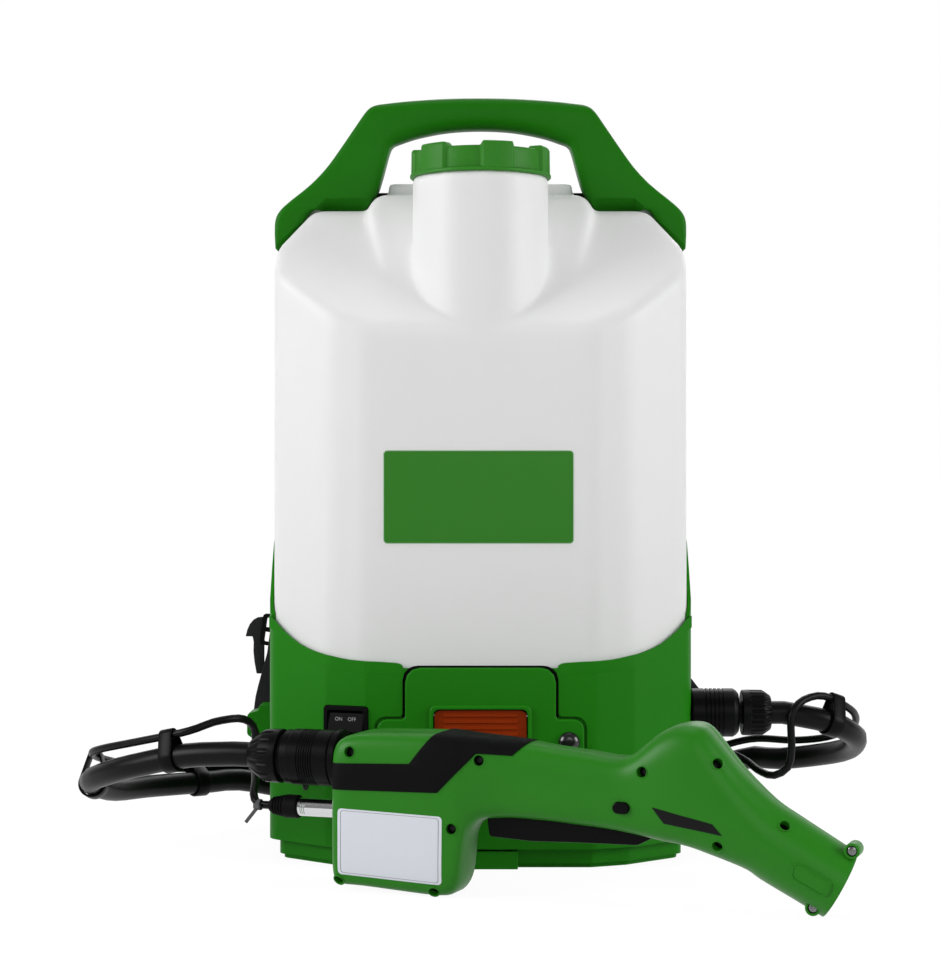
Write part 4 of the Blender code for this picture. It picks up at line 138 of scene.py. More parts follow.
OUTLET_RADIUS = 0.0121
THREAD_STEPS = 144                     # of its two turns
THREAD_RISE = 0.0085
THREAD_RADIUS = 0.0008

CAP_RADIUS = 0.0495
CAP_BOTTOM = NECK_TOP + 0.0006
CAP_RIM = CAP_BOTTOM + 0.0178
CAP_LOBES = 6
CAP_STEPS = 288
LOBE_START = 15.0        # degrees from the front to the first lobe's middle
LOBE_HALF = 15.6         # degrees from a lobe's middle to its foot
LOBE_EDGE = 3.2          # degrees over which it rises
LOBE_DEEP = 0.0026
LOBE_RISE = 0.0030

RIM_CURVE = [   # x and z of the rim's highest line, from the groove to the side
    (0.0526, 0.1350), (0.0527, 0.1380), (0.0533, 0.1392), (0.0546, 0.1401), (0.0570, 0.1407),
    (0.0620, 0.1411), (0.0700, 0.1416), (0.0800, 0.1420), (0.0900, 0.1427), (0.0960, 0.1436),
    (0.1010, 0.1446), (0.1070, 0.1457), (0.1127, 0.1471), (0.1185, 0.1490), (0.1245, 0.1516),
    (0.1305, 0.1553), (0.1365, 0.1600), (0.1400, 0.1632), (0.1430, 0.1664), (0.1458, 0.1690),
    (0.1484, 0.1705)]
RIM_BAND = 0.0085        # how far the rolled rim reaches down
RIM_PROUD = 0.00015      # of the rim before the cup's wall
RIM_WALL = 0.0024
RIM_LEAN = (0.75, 0.5, 0.2, 0.0)   # share of the wall by which its inner corners step in
RIM_START = 0.0500                 # x of its end behind the front panel
RIM_SINK = 0.0004        # of the cup's own edge under the rim's highest line
RIM_RISE = (0.1250, 0.1950)     # from under its lowest point to over its highest
RIM_DEEP = (-0.0950, -0.0300)   # y that the band of the rim runs through
CUP_DEEP = (-0.0900, -0.0370)   # y that the sweep of the rim runs through
CUP_ABOVE = 0.1900              # a height over all of the sweep
PANEL_HALF = 0.0513
PANEL_TOP = 0.1375
ROCKER_Z = 0.0995
BASE_SCREW = (0.1209, -0.0610, 0.0539)
BASE_SCREW_WAY = (0.0355, -0.04225, 0.0)

FOOT_BAND = [  # x, and the high and low z of the slanted band under each foot of the handle
    (0.0700, 0.4706, 0.4590), (0.1120, 0.4697, 0.4590), (0.1221, 0.4606, 0.4565),
    (0.1385, 0.4452, 0.4370), (0.1480, 0.4362, 0.4230)]
HANDLE_MIDDLE = 0.0315   # y of its middle
HANDLE_HALF = 0.0135
HANDLE_RIBS = [   # low point x, z, high point x, z, squareness
    (0.0000, 0.5199, 0.0000, 0.5434, 2.8), (0.0230, 0.5187, 0.0250, 0.5430, 2.8),
    (0.0440, 0.5149, 0.0500, 0.5414, 3.0), (0.0570, 0.5109, 0.0680, 0.5394, 3.4),
    (0.0635, 0.5082, 0.0775, 0.5376, 4.0), (0.0662, 0.5034, 0.0832, 0.5334, 4.6),
    (0.0690, 0.4934, 0.0905, 0.5229, 5.4), (0.0718, 0.4834, 0.1010, 0.5074, 6.0),
    (0.0752, 0.4744, 0.1110, 0.4934, 6.4), (0.0850, 0.4611, 0.1205, 0.4829, 6.4),
    (0.0980, 0.4605, 0.1290, 0.4754, 6.0), (0.1110, 0.4605, 0.1385, 0.4679, 5.4),
    (0.1221, 0.4604, 0.1457, 0.4612, 5.0), (0.1299, 0.4498, 0.1492, 0.4544, 5.0),
    (0.1385, 0.4386, 0.1498, 0.4444, 4.6), (0.1448, 0.4303, 0.1492, 0.4334, 4.0)]

GUN_RIBS = [  # low and high (x, z), half thickness, squareness
    (0.0090, 0.0090, 0.0090, 0.0890, 0.0205, 6.5), (0.0110, 0.0055, 0.0116, 0.0960, 0.0242, 7.0),
    (0.0160, 0.0040, 0.0190, 0.1005, 0.0260, 7.5), (0.0300, 0.0035, 0.0340, 0.1025, 0.0260, 7.5),
    (0.0550, 0.0018, 0.0580, 0.1030, 0.0260, 7.5), (0.0780, 0.0003, 0.0780, 0.1033, 0.0260, 7.0),
    (0.0890, 0.0012, 0.0880, 0.1030, 0.0255, 6.5), (0.0955, 0.0065, 0.0960, 0.1026, 0.0248, 6.0),
    (0.0992, 0.0150, 0.1015, 0.1022, 0.0240, 5.4), (0.1010, 0.0280, 0.1060, 0.1019, 0.0232, 5.0),
    (0.1022, 0.0400, 0.1125, 0.1015, 0.0222, 4.4), (0.1065, 0.0480, 0.1200, 0.1009, 0.0208, 4.0),
    (0.1150, 0.0500, 0.1270, 0.1004, 0.0195, 3.6), (0.1300, 0.0507, 0.1390, 0.0995, 0.0185, 3.4),
    (0.1500, 0.0500, 0.1570, 0.0970, 0.0180, 3.4), (0.1700, 0.0486, 0.1765, 0.0950, 0.0180, 3.4),
    (0.1900, 0.0470, 0.1950, 0.0927, 0.0185, 3.4), (0.2050, 0.0450, 0.2050, 0.0938, 0.0195, 3.4),
    (0.2170, 0.0430, 0.2145, 0.1010, 0.0210, 3.4), (0.2270, 0.0412, 0.2240, 0.1085, 0.0225, 3.4),
    (0.2350, 0.0402, 0.2350, 0.1140, 0.0235, 3.4), (0.2420, 0.0388, 0.2458, 0.1154, 0.0240, 3.4),
    (0.2477, 0.0372, 0.2541, 0.1126, 0.0240, 3.2), (0.2560, 0.0345, 0.2650, 0.1000, 0.0240, 3.0),
    (0.2667, 0.0309, 0.2762, 0.0869, 0.0240, 2.7), (0.2790, 0.0258, 0.2949, 0.0700, 0.0235, 2.2)]
HEEL = {  # by low x: how far the near and the far side of a rib lie behind its middle
    0.0890: (0.0, -0.0040), 0.0955: (-0.0012, -0.0078), 0.0992: (-0.0028, -0.0105),
    0.1010: (-0.0030, -0.0105), 0.1022: (-0.0022, -0.0085), 0.1065: (0.0, -0.0035)}
GUN_WALL = 0.0025
STEP_SPAN = (0.080, 0.200)    # x over which the hollow stays off the step behind the trigger
STEP_EASE = (0.012, 0.050)    # and how softly it does so at both ends
GUN_REACH = 0.040        # from the seam to well past the spray handle's skin
SEAM = 0.00015           # half of the gap between the two shells
MUZZLE_END = Vector((0.3350, 0.0198))
MUZZLE_SLOPE = math.radians(29.5)
MUZZLE_AXIS = Vector((math.cos(MUZZLE_SLOPE), -math.sin(MUZZLE_SLOPE)))
MUZZLE_UP = Vector((math.sin(MUZZLE_SLOPE), math.cos(MUZZLE_SLOPE)))
MUZZLE_STOPS = [(0.0420, 0.0232, 0.0, 0.0), (0.0210, 0.0227, 0.0, 0.0),
                (0.0084, 0.0224, 0.0018, -0.0016), (0.0, 0.0222, 0.0045, -0.0040)]
LUGS = [(0.3445, 0.0423), (0.3208, 0.0066)]
LUG_RADIUS = 0.0048
LUG_REACH = 0.0125
LUG_BACK = 0.0015
GRIP_BAND = [(0.0035, 0.0661), (0.0832, 0.0672), (0.1080, 0.0927), (0.1307, 0.0917),
             (0.1500, 0.1100), (0.0840, 0.1100), (0.0642, 0.0848), (0.0035, 0.0829)]
GUN_SCREWS = [(0.0229, 0.0908), (0.1096, 0.0883), (0.0924, 0.0446), (0.0146, 0.0075),
              (0.0799, 0.0037), (0.2160, 0.0855), (0.2638, 0.0926), (0.3046, 0.0563),
              (0.2638, 0.0421)]
RATING_PLATE = [(0.0149, 0.0120), (0.0859, 0.0085), (0.0864, 0.0522), (0.0149, 0.0544)]
DARK_PLATE = [(0.2303, 0.0545), (0.2675, 0.0490), (0.2612, 0.0560), (0.2225, 0.0644)]
BADGE = [(0.3087, 0.0262), (0.3322, 0.0137), (0.3352, 0.0250), (0.3102, 0.0378)]
TRIGGER_SLOT = (0.1090, 0.2240)
TRIGGER_HALF = 0.0074
LOCK_PLACE = (0.2025, 0.0625)

# ---------------------------------------------------------------------------------------------
# Forms that the dressing adds

WEB_TAIL = [   # the loose end of the webbing beside its buckle
    (0.1640, 0.1612), (0.1690, 0.1608), (0.1722, 0.1590), (0.1750, 0.1558), (0.1770, 0.1515),
    (0.1783, 0.1462), (0.1730, 0.1462), (0.1722, 0.1420), (0.1724, 0.1350), (0.1716, 0.1270),
    (0.1700, 0.1180), (0.1640, 0.1180)]
WEB_HALF = 0.0008              # half of its thickness
TUCK = 0.0100                  # how far the right strap's webbing is drawn in behind the base
TUCK_SPAN = (0.1000, 0.2150)   # and between which heights

CLOTH = {"quality": 6, "mass": 0.3, "tension_stiffness": 14, "compression_stiffness": 14,
         "shear_stiffness": 6, "use_pressure": True, "uniform_pressure_force": 4}
SWELL_FRAMES = 20
PAD_SEAMS = (-0.080, -0.052, 0.0, 0.052, 0.080)   # x of the back pad's upright seams
PAD_MARGIN = 0.022       # from its ends to its level seams
SEAM_WIDE = 0.0042
SEAM_DEEP = 0.0062
SPINE_STEP = 0.012       # between the heights where a shoulder pad's middle is measured
STITCH_AWAY = 0.0165     # from that middle to its stitching
STITCH_WIDE = 0.0026
STITCH_DEEP = 0.0022

TANK_LABEL = ((-0.0664, 0.2217), (0.0638, 0.2857))

# ---------------------------------------------------------------------------------------------
# Stage

CAMERA_PLACE = (0.0, -1.655, 0.2687)
CAMERA_LENS = 85.39
CAMERA_SHIFT = (-0.01079, -0.01182)
AIM = Vector((0.0, 0.0, 0.25))    # what the lamps point at
FLOOR_SIZE = (9.0, 6.4)
BACKDROP_HEIGHT = 4.0
LAMPS = [   # name, place, size and power
    ("key", (-2.3, -0.9, 1.2), 1.3, 47.0), ("fill", (2.4, -0.9, 1.0), 1.3, 38.0),
    ("front", (0.3, -3.0, 1.2), 1.6, 15.0), ("top", (0.0, 0.3, 2.4), 1.4, 9.0),
    ("rear", (0.6, 2.2, 1.8), 1.4, 16.0)]

# ---------------------------------------------------------------------------------------------
# Finishes of the CAD nodes, and the nodes that take each finish

FINISHES = {
    "green": ["base_shell", "base_plate", "front_panel", "strap_anchor_left",
              "strap_anchor_right"],
    "cap green": ["tank_cap"],
    "handle green": ["carry_handle"],
    "spray green": ["gun_shell_near", "gun_shell_far"],
    "tank": ["tank_shell"],
    "pipe": ["feed_pipe", "delivery_pipe", "inner_tube"],
    "module": ["hv_module"],
    "orange": ["release_latch"],
    "black": ["rocker_bezel", "power_rocker", "tank_socket", "pump_head", "battery_pack",
              "outlet_barrel", "outlet_nut", "cable_gland", "back_frame", "hose_clip_right",
              "hose_clip_left", "hose_clip_end", "valve_housing", "trigger", "trigger_lock",
              "micro_switch", "gun_collar", "swivel_body", "gun_nut", "nozzle_holder",
              "nozzle_dial", "buckle_left", "buckle_right"],
    "rubber": ["port_cap", "cap_gasket", "grip_overmould", "plug_boot"],
    "steel": ["latch_pin", "latch_spring", "pump_motor", "valve_spring", "trigger_pin",
              "trigger_spring", "cable_plug", "electrode_ring"],
    "brass": ["pump_rotor", "valve_poppet"],
    "board": ["control_board"],
    "pad": ["back_pad", "shoulder_pad_left", "shoulder_pad_right"],
    "web": ["webbing_left", "webbing_right"],
}

# ---------------------------------------------------------------------------------------------
# Settings


def colour_setting(name, description, default):
    return FloatVectorProperty(name=name, description=description, subtype="COLOR", size=3,
                               default=default, min=0.0, max=1.0)


def size_setting(name, description, default, low, high):
    return FloatProperty(name=name, description=description, default=default, min=low, max=high,
                         subtype="DISTANCE", unit="LENGTH")


class SprayerColours(bpy.types.PropertyGroup):
    """The colours of the sprayer's plastics and fabrics."""

    base: colour_setting("Base green", "Green of the base and its panel", (0.012, 0.172, 0.004))
    cap: colour_setting("Cap green", "Green of the screw cap", (0.024, 0.180, 0.010))
    handle: colour_setting("Handle green", "Green of the carry handle", (0.010, 0.135, 0.003))
    spray: colour_setting("Spray green", "Green of the spray handle", (0.017, 0.178, 0.006))
    tank: colour_setting("Tank white", "White of the milky tank", (0.85, 0.85, 0.85))
    latch: colour_setting("Latch orange", "Orange of the tank release", (0.262, 0.026, 0.001))
    trim: colour_setting("Trim black", "Black of the plastic trim", (0.0026, 0.0026, 0.0028))
    fabric: colour_setting("Fabric black", "Black of the harness", (0.012, 0.012, 0.013))


class SprayerSizes(bpy.types.PropertyGroup):
    """The sizes that the dressing adds to the CAD model."""

    edge: size_setting("Moulded edge", "Radius of a moulded edge", 0.0008, 0.0, 0.003)
    tank_edge: size_setting("Tank edge", "Radius of the tank's edges", 0.0070, 0.002, 0.02)
    tank_grid: size_setting("Tank grid", "Cell of the tank's blown surface", 0.0022, 0.001, 0.01)
    hose: size_setting("Hose diameter", "Outer diameter of the hose", 0.0165, 0.01, 0.025)
    cable: size_setting("Cable diameter", "Outer diameter of the cable", 0.0055, 0.003, 0.01)
    swell: size_setting("Pad swell", "How far a pad's face may swell", 0.0060, 0.0, 0.02)
    round_steps: IntProperty(name="Round steps", description="Steps round a turned fitting",
                             default=72, min=12, max=144)


# ---------------------------------------------------------------------------------------------
# Modelling


def alone(piece):
    """Selects one piece and nothing else."""
    bpy.ops.object.select_all(action="DESELECT")
    piece.select_set(True)
    bpy.context.view_layer.objects.active = piece


def edited(piece, *steps):
    """Runs steps in edit mode on the whole of a piece."""
    alone(piece)
    bpy.ops.object.mode_set(mode="EDIT")
    bpy.ops.mesh.select_mode(type="VERT")
    for step in steps:
        bpy.ops.mesh.select_all(action="SELECT")
        step()
    bpy.ops.object.mode_set(mode="OBJECT")
    return piece


def outwards():
    bpy.ops.mesh.normals_make_consistent(inside=False)


def weld(reach):
    return lambda: bpy.ops.mesh.remove_doubles(threshold=reach)


def pick(piece, kind, wanted):
    """In edit mode, selects only the faces, edges or corners of a piece that are wanted."""
    bpy.ops.mesh.select_mode(type=kind)
    bpy.ops.mesh.select_all(action="DESELECT")
    shape = bmesh.from_edit_mesh(piece.data)
    for each in {"FACE": shape.faces, "EDGE": shape.edges, "VERT": shape.verts}[kind]:
        if wanted(each):
            each.select_set(True)
    bmesh.update_edit_mesh(piece.data)


def modify(piece, kind, **settings):
    """Adds a modifier to a piece and applies it."""
    modifier = piece.modifiers.new(kind.title(), kind)
    for name, value in settings.items():
        setattr(modifier, name, value)
    alone(piece)
    bpy.ops.object.modifier_apply(modifier=modifier.name)
    return piece


def combined(piece, operation, *tools):
    """Joins, cuts or intersects a piece with other shapes, which are used up."""
    for tool in tools:
        modify(piece, "BOOLEAN", operation=operation, object=tool, solver="EXACT")
        bpy.data.objects.remove(tool)
    return piece


def cut(piece, *tools):
    return combined(piece, "DIFFERENCE", *tools)


def joined(piece, *tools):
    return combined(piece, "UNION", *tools)


def rounded_edges(piece, width, segments=2, sharper_than=35.0):
    return modify(piece, "BEVEL", width=width, segments=segments, limit_method="ANGLE",
                  angle_limit=math.radians(sharper_than))


def shaded(piece, sharp=38.0, flats=False):
    """Shades a piece smooth but for its sharp edges. Flats keeps broad faces flat."""
    alone(piece)
    bpy.ops.object.shade_smooth_by_angle(angle=math.radians(sharp))
    if flats:
        modify(piece, "WEIGHTED_NORMAL", weight=80, keep_sharp=True)
    return piece


def named(piece, name):
    piece.name = piece.data.name = name
    return piece


def settled(name):
    """Names the piece that was just made, and puts its place and its size into its mesh."""
    piece = named(bpy.context.object, name)
    bpy.ops.object.transform_apply(location=True, rotation=True, scale=True)
    return piece


def clamped(value, low=0.0, high=1.0):
    return min(max(value, low), high)


def facing(spot, out):
    """The place at a spot with X along a direction."""
    return Matrix.Translation(spot) @ out.to_track_quat("X", "Z").to_matrix().to_4x4()


def new_piece(name, mesh):
    piece = bpy.data.objects.new(name, mesh)
    bpy.context.scene.collection.objects.link(piece)
    return piece


def block(name, low, high):
    """A box between two corners."""
    bpy.ops.object.select_all(action="DESELECT")
    low, high = Vector(low), Vector(high)
    bpy.ops.mesh.primitive_cube_add(size=1.0, location=(low + high) / 2, scale=high - low)
    return settled(name)


def rod(name, radius, low, high, steps=48):
    """A round bar between two points."""
    bpy.ops.object.select_all(action="DESELECT")
    low, high = Vector(low), Vector(high)
    turn = (high - low).to_track_quat("Z", "Y").to_euler()
    bpy.ops.mesh.primitive_cylinder_add(vertices=steps, radius=radius, depth=(high - low).length,
                                        location=(low + high) / 2, rotation=turn)
    return settled(name)


def spun(name, profile, steps=None, place=None):
    """A solid turned about X from a closed profile of (along, radius) points."""
    mesh = bpy.data.meshes.new(name)
    count = len(profile)
    mesh.from_pydata([(along, 0.0, radius) for along, radius in profile],
                     [(i, (i + 1) % count) for i in range(count)], [])
    piece = new_piece(name, mesh)
    steps = steps or bpy.context.scene.sprayer_sizes.round_steps
    edited(piece,
           lambda: bpy.ops.mesh.spin(steps=steps, angle=2 * math.pi, center=(0, 0, 0),
                                     axis=(1, 0, 0)),
           weld(0.00001), outwards)
    if place:
        piece.data.transform(place)
    return piece


def rounded(corners, radius, steps=6):
    """A closed outline with its corners rounded."""
    points = []
    for i, corner in enumerate(corners):
        here = Vector(corner)
        before = (Vector(corners[i - 1]) - here).normalized()
        after = (Vector(corners[(i + 1) % len(corners)]) - here).normalized()
        half = before.angle(after) / 2
        centre = here + (before + after).normalized() * radius / math.sin(half)
        start = here + before * radius / math.tan(half) - centre
        end = here + after * radius / math.tan(half) - centre
        spread = start.angle(end)
        for k in range(steps + 1):
            near = start * math.sin((1 - k / steps) * spread) + end * math.sin(k / steps * spread)
            points.append(centre + near / math.sin(spread))
    return points


def rectangle(low, high, radius, steps=6):
    return rounded([low, (high[0], low[1]), high, (low[0], high[1])], radius, steps)


def plate(name, outline, low, high, place=None):
    """A flat outline in X and Z, pushed out along Y from low to high."""
    mesh = bpy.data.meshes.new(name)
    mesh.from_pydata([(p[0], low, p[1]) for p in outline], [], [list(range(len(outline)))])
    piece = new_piece(name, mesh)
    edited(piece,
           lambda: bpy.ops.mesh.extrude_region_move(
               TRANSFORM_OT_translate={"value": (0.0, high - low, 0.0)}),
           outwards)
    if place:
        piece.data.transform(place)
    return piece


def skinned(name, rings, closed=False):
    """A skin over rings of points. Its ends are capped, or the last ring joins the first."""
    shape = bmesh.new()
    rows = [[shape.verts.new(point) for point in ring] for ring in rings]
    if closed:
        rows.append(rows[0])
    for low, high in zip(rows, rows[1:]):
        for i in range(len(low)):
            j = (i + 1) % len(low)
            shape.faces.new((low[i], low[j], high[j], high[i]))
    if not closed:
        shape.faces.new(rows[0][::-1])
        shape.faces.new(rows[-1])
    mesh = bpy.data.meshes.new(name)
    shape.to_mesh(mesh)
    shape.free()
    return edited(new_piece(name, mesh), outwards)


def blended(a, b, c, d, t):
    """A smooth step from b to c, by a share from 0 to 1, for numbers and for points."""
    return 0.5 * (2 * b + (c - a) * t + (2 * a - 5 * b + 4 * c - d) * t ** 2
                  + (3 * b - a - 3 * c + d) * t ** 3)


def blended_rows(rows, times):
    """Rows of numbers with smooth rows set in between."""
    ends = [rows[0], *rows, rows[-1]]
    fine = []
    for four in zip(ends, ends[1:], ends[2:], ends[3:]):
        for k in range(times):
            fine.append([blended(*column, k / times) for column in zip(*four)])
    return [*fine, list(rows[-1])]


def rib_loft(name, ribs, steps=20, inset=0.0, middle=0.0):
    """A skin over ribs that stand in the X-Z plane and swell to both sides along Y.

    A rib is its low x and z, its high x and z, its swell, its squareness, and its bulge along X
    and Z on the near and on the far side.
    """
    rings = []
    for x0, z0, x1, z1, swell, squareness, *bulges in ribs:
        low, high = Vector((x0, z0)), Vector((x1, z1))
        inwards = (high - low).normalized() * inset
        low, high = low + inwards, high - inwards
        ring = []
        for k in range(2 * steps):
            angle = math.pi * k / steps
            c, s = math.cos(angle), math.sin(angle)
            rise = math.copysign(abs(c) ** (2 / squareness), c)
            out = math.copysign(abs(s) ** (2 / squareness), s) if abs(s) > 1e-9 else 0.0
            bulge = Vector(bulges[:2] if out < 0 else bulges[2:])
            point = low.lerp(high, (1 - rise) / 2) + bulge * abs(out)
            ring.append((point.x, middle + (swell - inset) * out, point.y))
        rings.append(ring)
    return skinned(name, rings)


def copied(node, name):
    """A copy of a CAD node as a piece of its own, with its doubles merged."""
    piece = new_piece(name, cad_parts[node].data.copy())
    piece.data.name = name
    return edited(piece, weld(0.00001),
                  lambda: bpy.ops.mesh.dissolve_limited(angle_limit=math.radians(0.6)))


def dressed(piece, finish, body, *nodes):
    """Gives a piece its finish and its body, and lets it stand for CAD nodes."""
    piece.data.materials.clear()
    piece.data.materials.append(MATERIALS[finish])
    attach(piece, body)
    if nodes:
        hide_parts(*nodes)
    return piece


def refined(node, name, finish, body, edge, segments=2, sharper_than=35.0, sharp=38.0):
    """A CAD node's shape with its sharp edges rounded, in its place."""
    piece = rounded_edges(copied(node, name), edge, segments, sharper_than)
    return dressed(shaded(piece, sharp, flats=True), finish, body, node)


def merged(name, pieces):
    """Several finished shapes as one piece."""
    bpy.ops.object.select_all(action="DESELECT")
    for each in pieces:
        each.select_set(True)
    bpy.context.view_layer.objects.active = pieces[0]
    bpy.ops.object.join()
    return named(bpy.context.object, name)


def span(line):
    return sum((b - a).length for a, b in zip(line, line[1:]))


def smooth_line(points, spacing):
    """Points about a spacing apart on a smooth curve through the given points."""
    knots = [Vector(p) for p in points]
    ends = [2 * knots[0] - knots[1], *knots, 2 * knots[-1] - knots[-2]]
    dense = [knots[0]]
    for four in zip(ends, ends[1:], ends[2:], ends[3:]):
        dense += [blended(*four, k / 24) for k in range(1, 25)]
    length = span(dense)
    count = max(2, round(length / spacing))
    line, walked, next_stop = [dense[0]], 0.0, length / count
    for p, q in zip(dense, dense[1:]):
        step = (q - p).length
        while step > 0 and walked + step >= next_stop and len(line) < count:
            line.append(p.lerp(q, (next_stop - walked) / step))
            next_stop += length / count
        walked += step
    return [*line, dense[-1]]


def round_curve(name, points, radius, resolution=4, closed=False):
    """A round bar along a line of points, as a curve with filled caps."""
    curve = bpy.data.curves.new(name, "CURVE")
    curve.dimensions = "3D"
    curve.bevel_depth = radius
    curve.bevel_resolution = resolution
    curve.use_fill_caps = not closed
    spline = curve.splines.new("POLY")
    spline.points.add(len(points) - 1)
    spline.use_cyclic_u = closed
    for knot, point in zip(spline.points, points):
        knot.co = (*point, 1.0)
    return new_piece(name, curve)


def as_mesh(piece):
    """Turns a curve or a text into a mesh in its own place."""
    alone(piece)
    bpy.ops.object.convert(target="MESH")
    return edited(settled(piece.name), weld(0.000001))


# ---------------------------------------------------------------------------------------------
# Materials

MATERIALS = {}


def feed(tree, target, inputs):
    """Sets a node's inputs, or joins sockets to them. An input goes by its name or as i0, i1."""
    for key, value in inputs.items():
        numbered = key[0] == "i" and key[1:].isdigit()
        socket = target.inputs[int(key[1:]) if numbered else key.replace("_", " ")]
        if isinstance(value, bpy.types.NodeSocket):
            tree.links.new(value, socket)
        else:
            socket.default_value = value


def new_material(name):
    """A material, with a helper that adds a node and one that sets its surface shader."""
    material = bpy.data.materials.new(name)
    material.use_nodes = True
    tree = material.node_tree

    def node(kind, settings=None, **inputs):
        made = tree.nodes.new(kind)
        for key, value in (settings or {}).items():
            setattr(made, key, value)
        feed(tree, made, inputs)
        return made

    def surface(**inputs):
        feed(tree, tree.nodes["Principled BSDF"], inputs)

    return material, node, surface


def mixed(node, share, low, high):
    """A colour between two, by a share from 0 to 1."""
    ramp = node("ShaderNodeValToRGB", Fac=share)
    ramp.color_ramp.elements[0].color = (*low, 1.0)
    ramp.color_ramp.elements[1].color = (*high, 1.0)
    return ramp.outputs["Color"]


def varied(node, share, low, high):
    """A number between two, by a share from 0 to 1."""
    return node("ShaderNodeMapRange", Value=share, To_Min=low, To_Max=high).outputs["Result"]


def noise(node, place, scale, detail):
    return node("ShaderNodeTexNoise", Vector=place, Scale=scale, Detail=detail).outputs["Fac"]


def moulded(name, colour, roughness, grain=2600.0, depth=0.00002, shift=0.06, gloss=0.14,
            subsurface=0.0):
    """Injection-moulded plastic: a fine spark-eroded grain, and a colour that drifts a little."""
    material, node, surface = new_material(name)
    place = node("ShaderNodeTexCoord").outputs["Object"]
    low = [c * (1 - shift) for c in colour]
    high = [min(c * (1 + shift), 1.0) for c in colour]
    bump = node("ShaderNodeBump", Strength=0.35, Distance=depth,
                Height=noise(node, place, grain, 1.0))
    surface(Base_Color=mixed(node, noise(node, place, 9.0, 3.0), low, high),
            Normal=bump.outputs["Normal"],
            Roughness=varied(node, noise(node, place, 38.0, 4.0), roughness - 0.05,
                             roughness + 0.07),
            Specular_IOR_Level=gloss, Subsurface_Weight=subsurface,
            Subsurface_Radius=(0.020, 0.020, 0.020), Subsurface_Scale=1.0)
    return material


def plated(name, colour, roughness):
    """Bright metal with faint turning marks."""
    material, node, surface = new_material(name)
    marks = noise(node, node("ShaderNodeTexCoord").outputs["Object"], 900.0, 2.0)
    surface(Base_Color=mixed(node, marks, [c * 0.93 for c in colour], colour),
            Roughness=varied(node, marks, roughness * 0.7, roughness * 1.4), Metallic=1.0)
    return material


def mesh_cloth(name, colour):
    """Open spacer mesh over foam: small round cells with a soft sheen."""
    material, node, surface = new_material(name)
    place = node("ShaderNodeTexCoord").outputs["Object"]
    cells = node("ShaderNodeTexVoronoi", {"feature": "DISTANCE_TO_EDGE"}, Vector=place,
                 Scale=330.0).outputs["Distance"]
    rims = node("ShaderNodeMapRange", Value=cells, From_Max=0.30).outputs["Result"]
    bump = node("ShaderNodeBump", {"invert": True}, Strength=0.7, Distance=0.0006, Height=rims)
    surface(Base_Color=mixed(node, rims, [c * 2.0 for c in colour], [c * 0.45 for c in colour]),
            Normal=bump.outputs["Normal"], Roughness=0.85, Specular_IOR_Level=0.2,
            Sheen_Weight=0.15, Sheen_Roughness=0.5)
    return material


def woven_web(name, colour):
    """Woven webbing with a fine rib."""
    material, node, surface = new_material(name)
    place = node("ShaderNodeTexCoord").outputs["Object"]
    ribs, cross = (node("ShaderNodeTexWave", {"bands_direction": way}, Vector=place, Scale=scale,
                        Distortion=bend).outputs["Fac"]
                   for way, scale, bend in (("Z", 330.0, 0.6), ("X", 260.0, 0.4)))
    weave = node("ShaderNodeMath", {"operation": "MULTIPLY"}, i0=ribs, i1=cross).outputs["Value"]
    bump = node("ShaderNodeBump", Strength=0.6, Distance=0.0003, Height=weave)
    surface(Base_Color=mixed(node, weave, [c * 0.6 for c in colour], [c * 2.4 for c in colour]),
            Normal=bump.outputs["Normal"], Roughness=0.8, Specular_IOR_Level=0.2,
            Sheen_Weight=0.12)
    return material


def pale_floor():
    """The floor's finish, which glows nearly white where the camera or a reflection sees it."""
    material, node, surface = new_material("pale floor")
    tree = material.node_tree
    surface(Base_Color=(0.72, 0.72, 0.72, 1.0), Roughness=0.9, Specular_IOR_Level=0.1)
    glow = node("ShaderNodeEmission", Strength=1.08)
    path = node("ShaderNodeLightPath")
    seen = node("ShaderNodeMath", {"operation": "MAXIMUM"}, i0=path.outputs["Is Camera Ray"],
                i1=path.outputs["Is Glossy Ray"])
    share = node("ShaderNodeMath", {"operation": "MULTIPLY"}, i0=seen.outputs["Value"], i1=0.87)
    mix = node("ShaderNodeMixShader", i0=share.outputs["Value"],
               i1=tree.nodes["Principled BSDF"].outputs["BSDF"], i2=glow.outputs["Emission"])
    feed(tree, tree.nodes["Material Output"], {"Surface": mix.outputs["Shader"]})
    return material


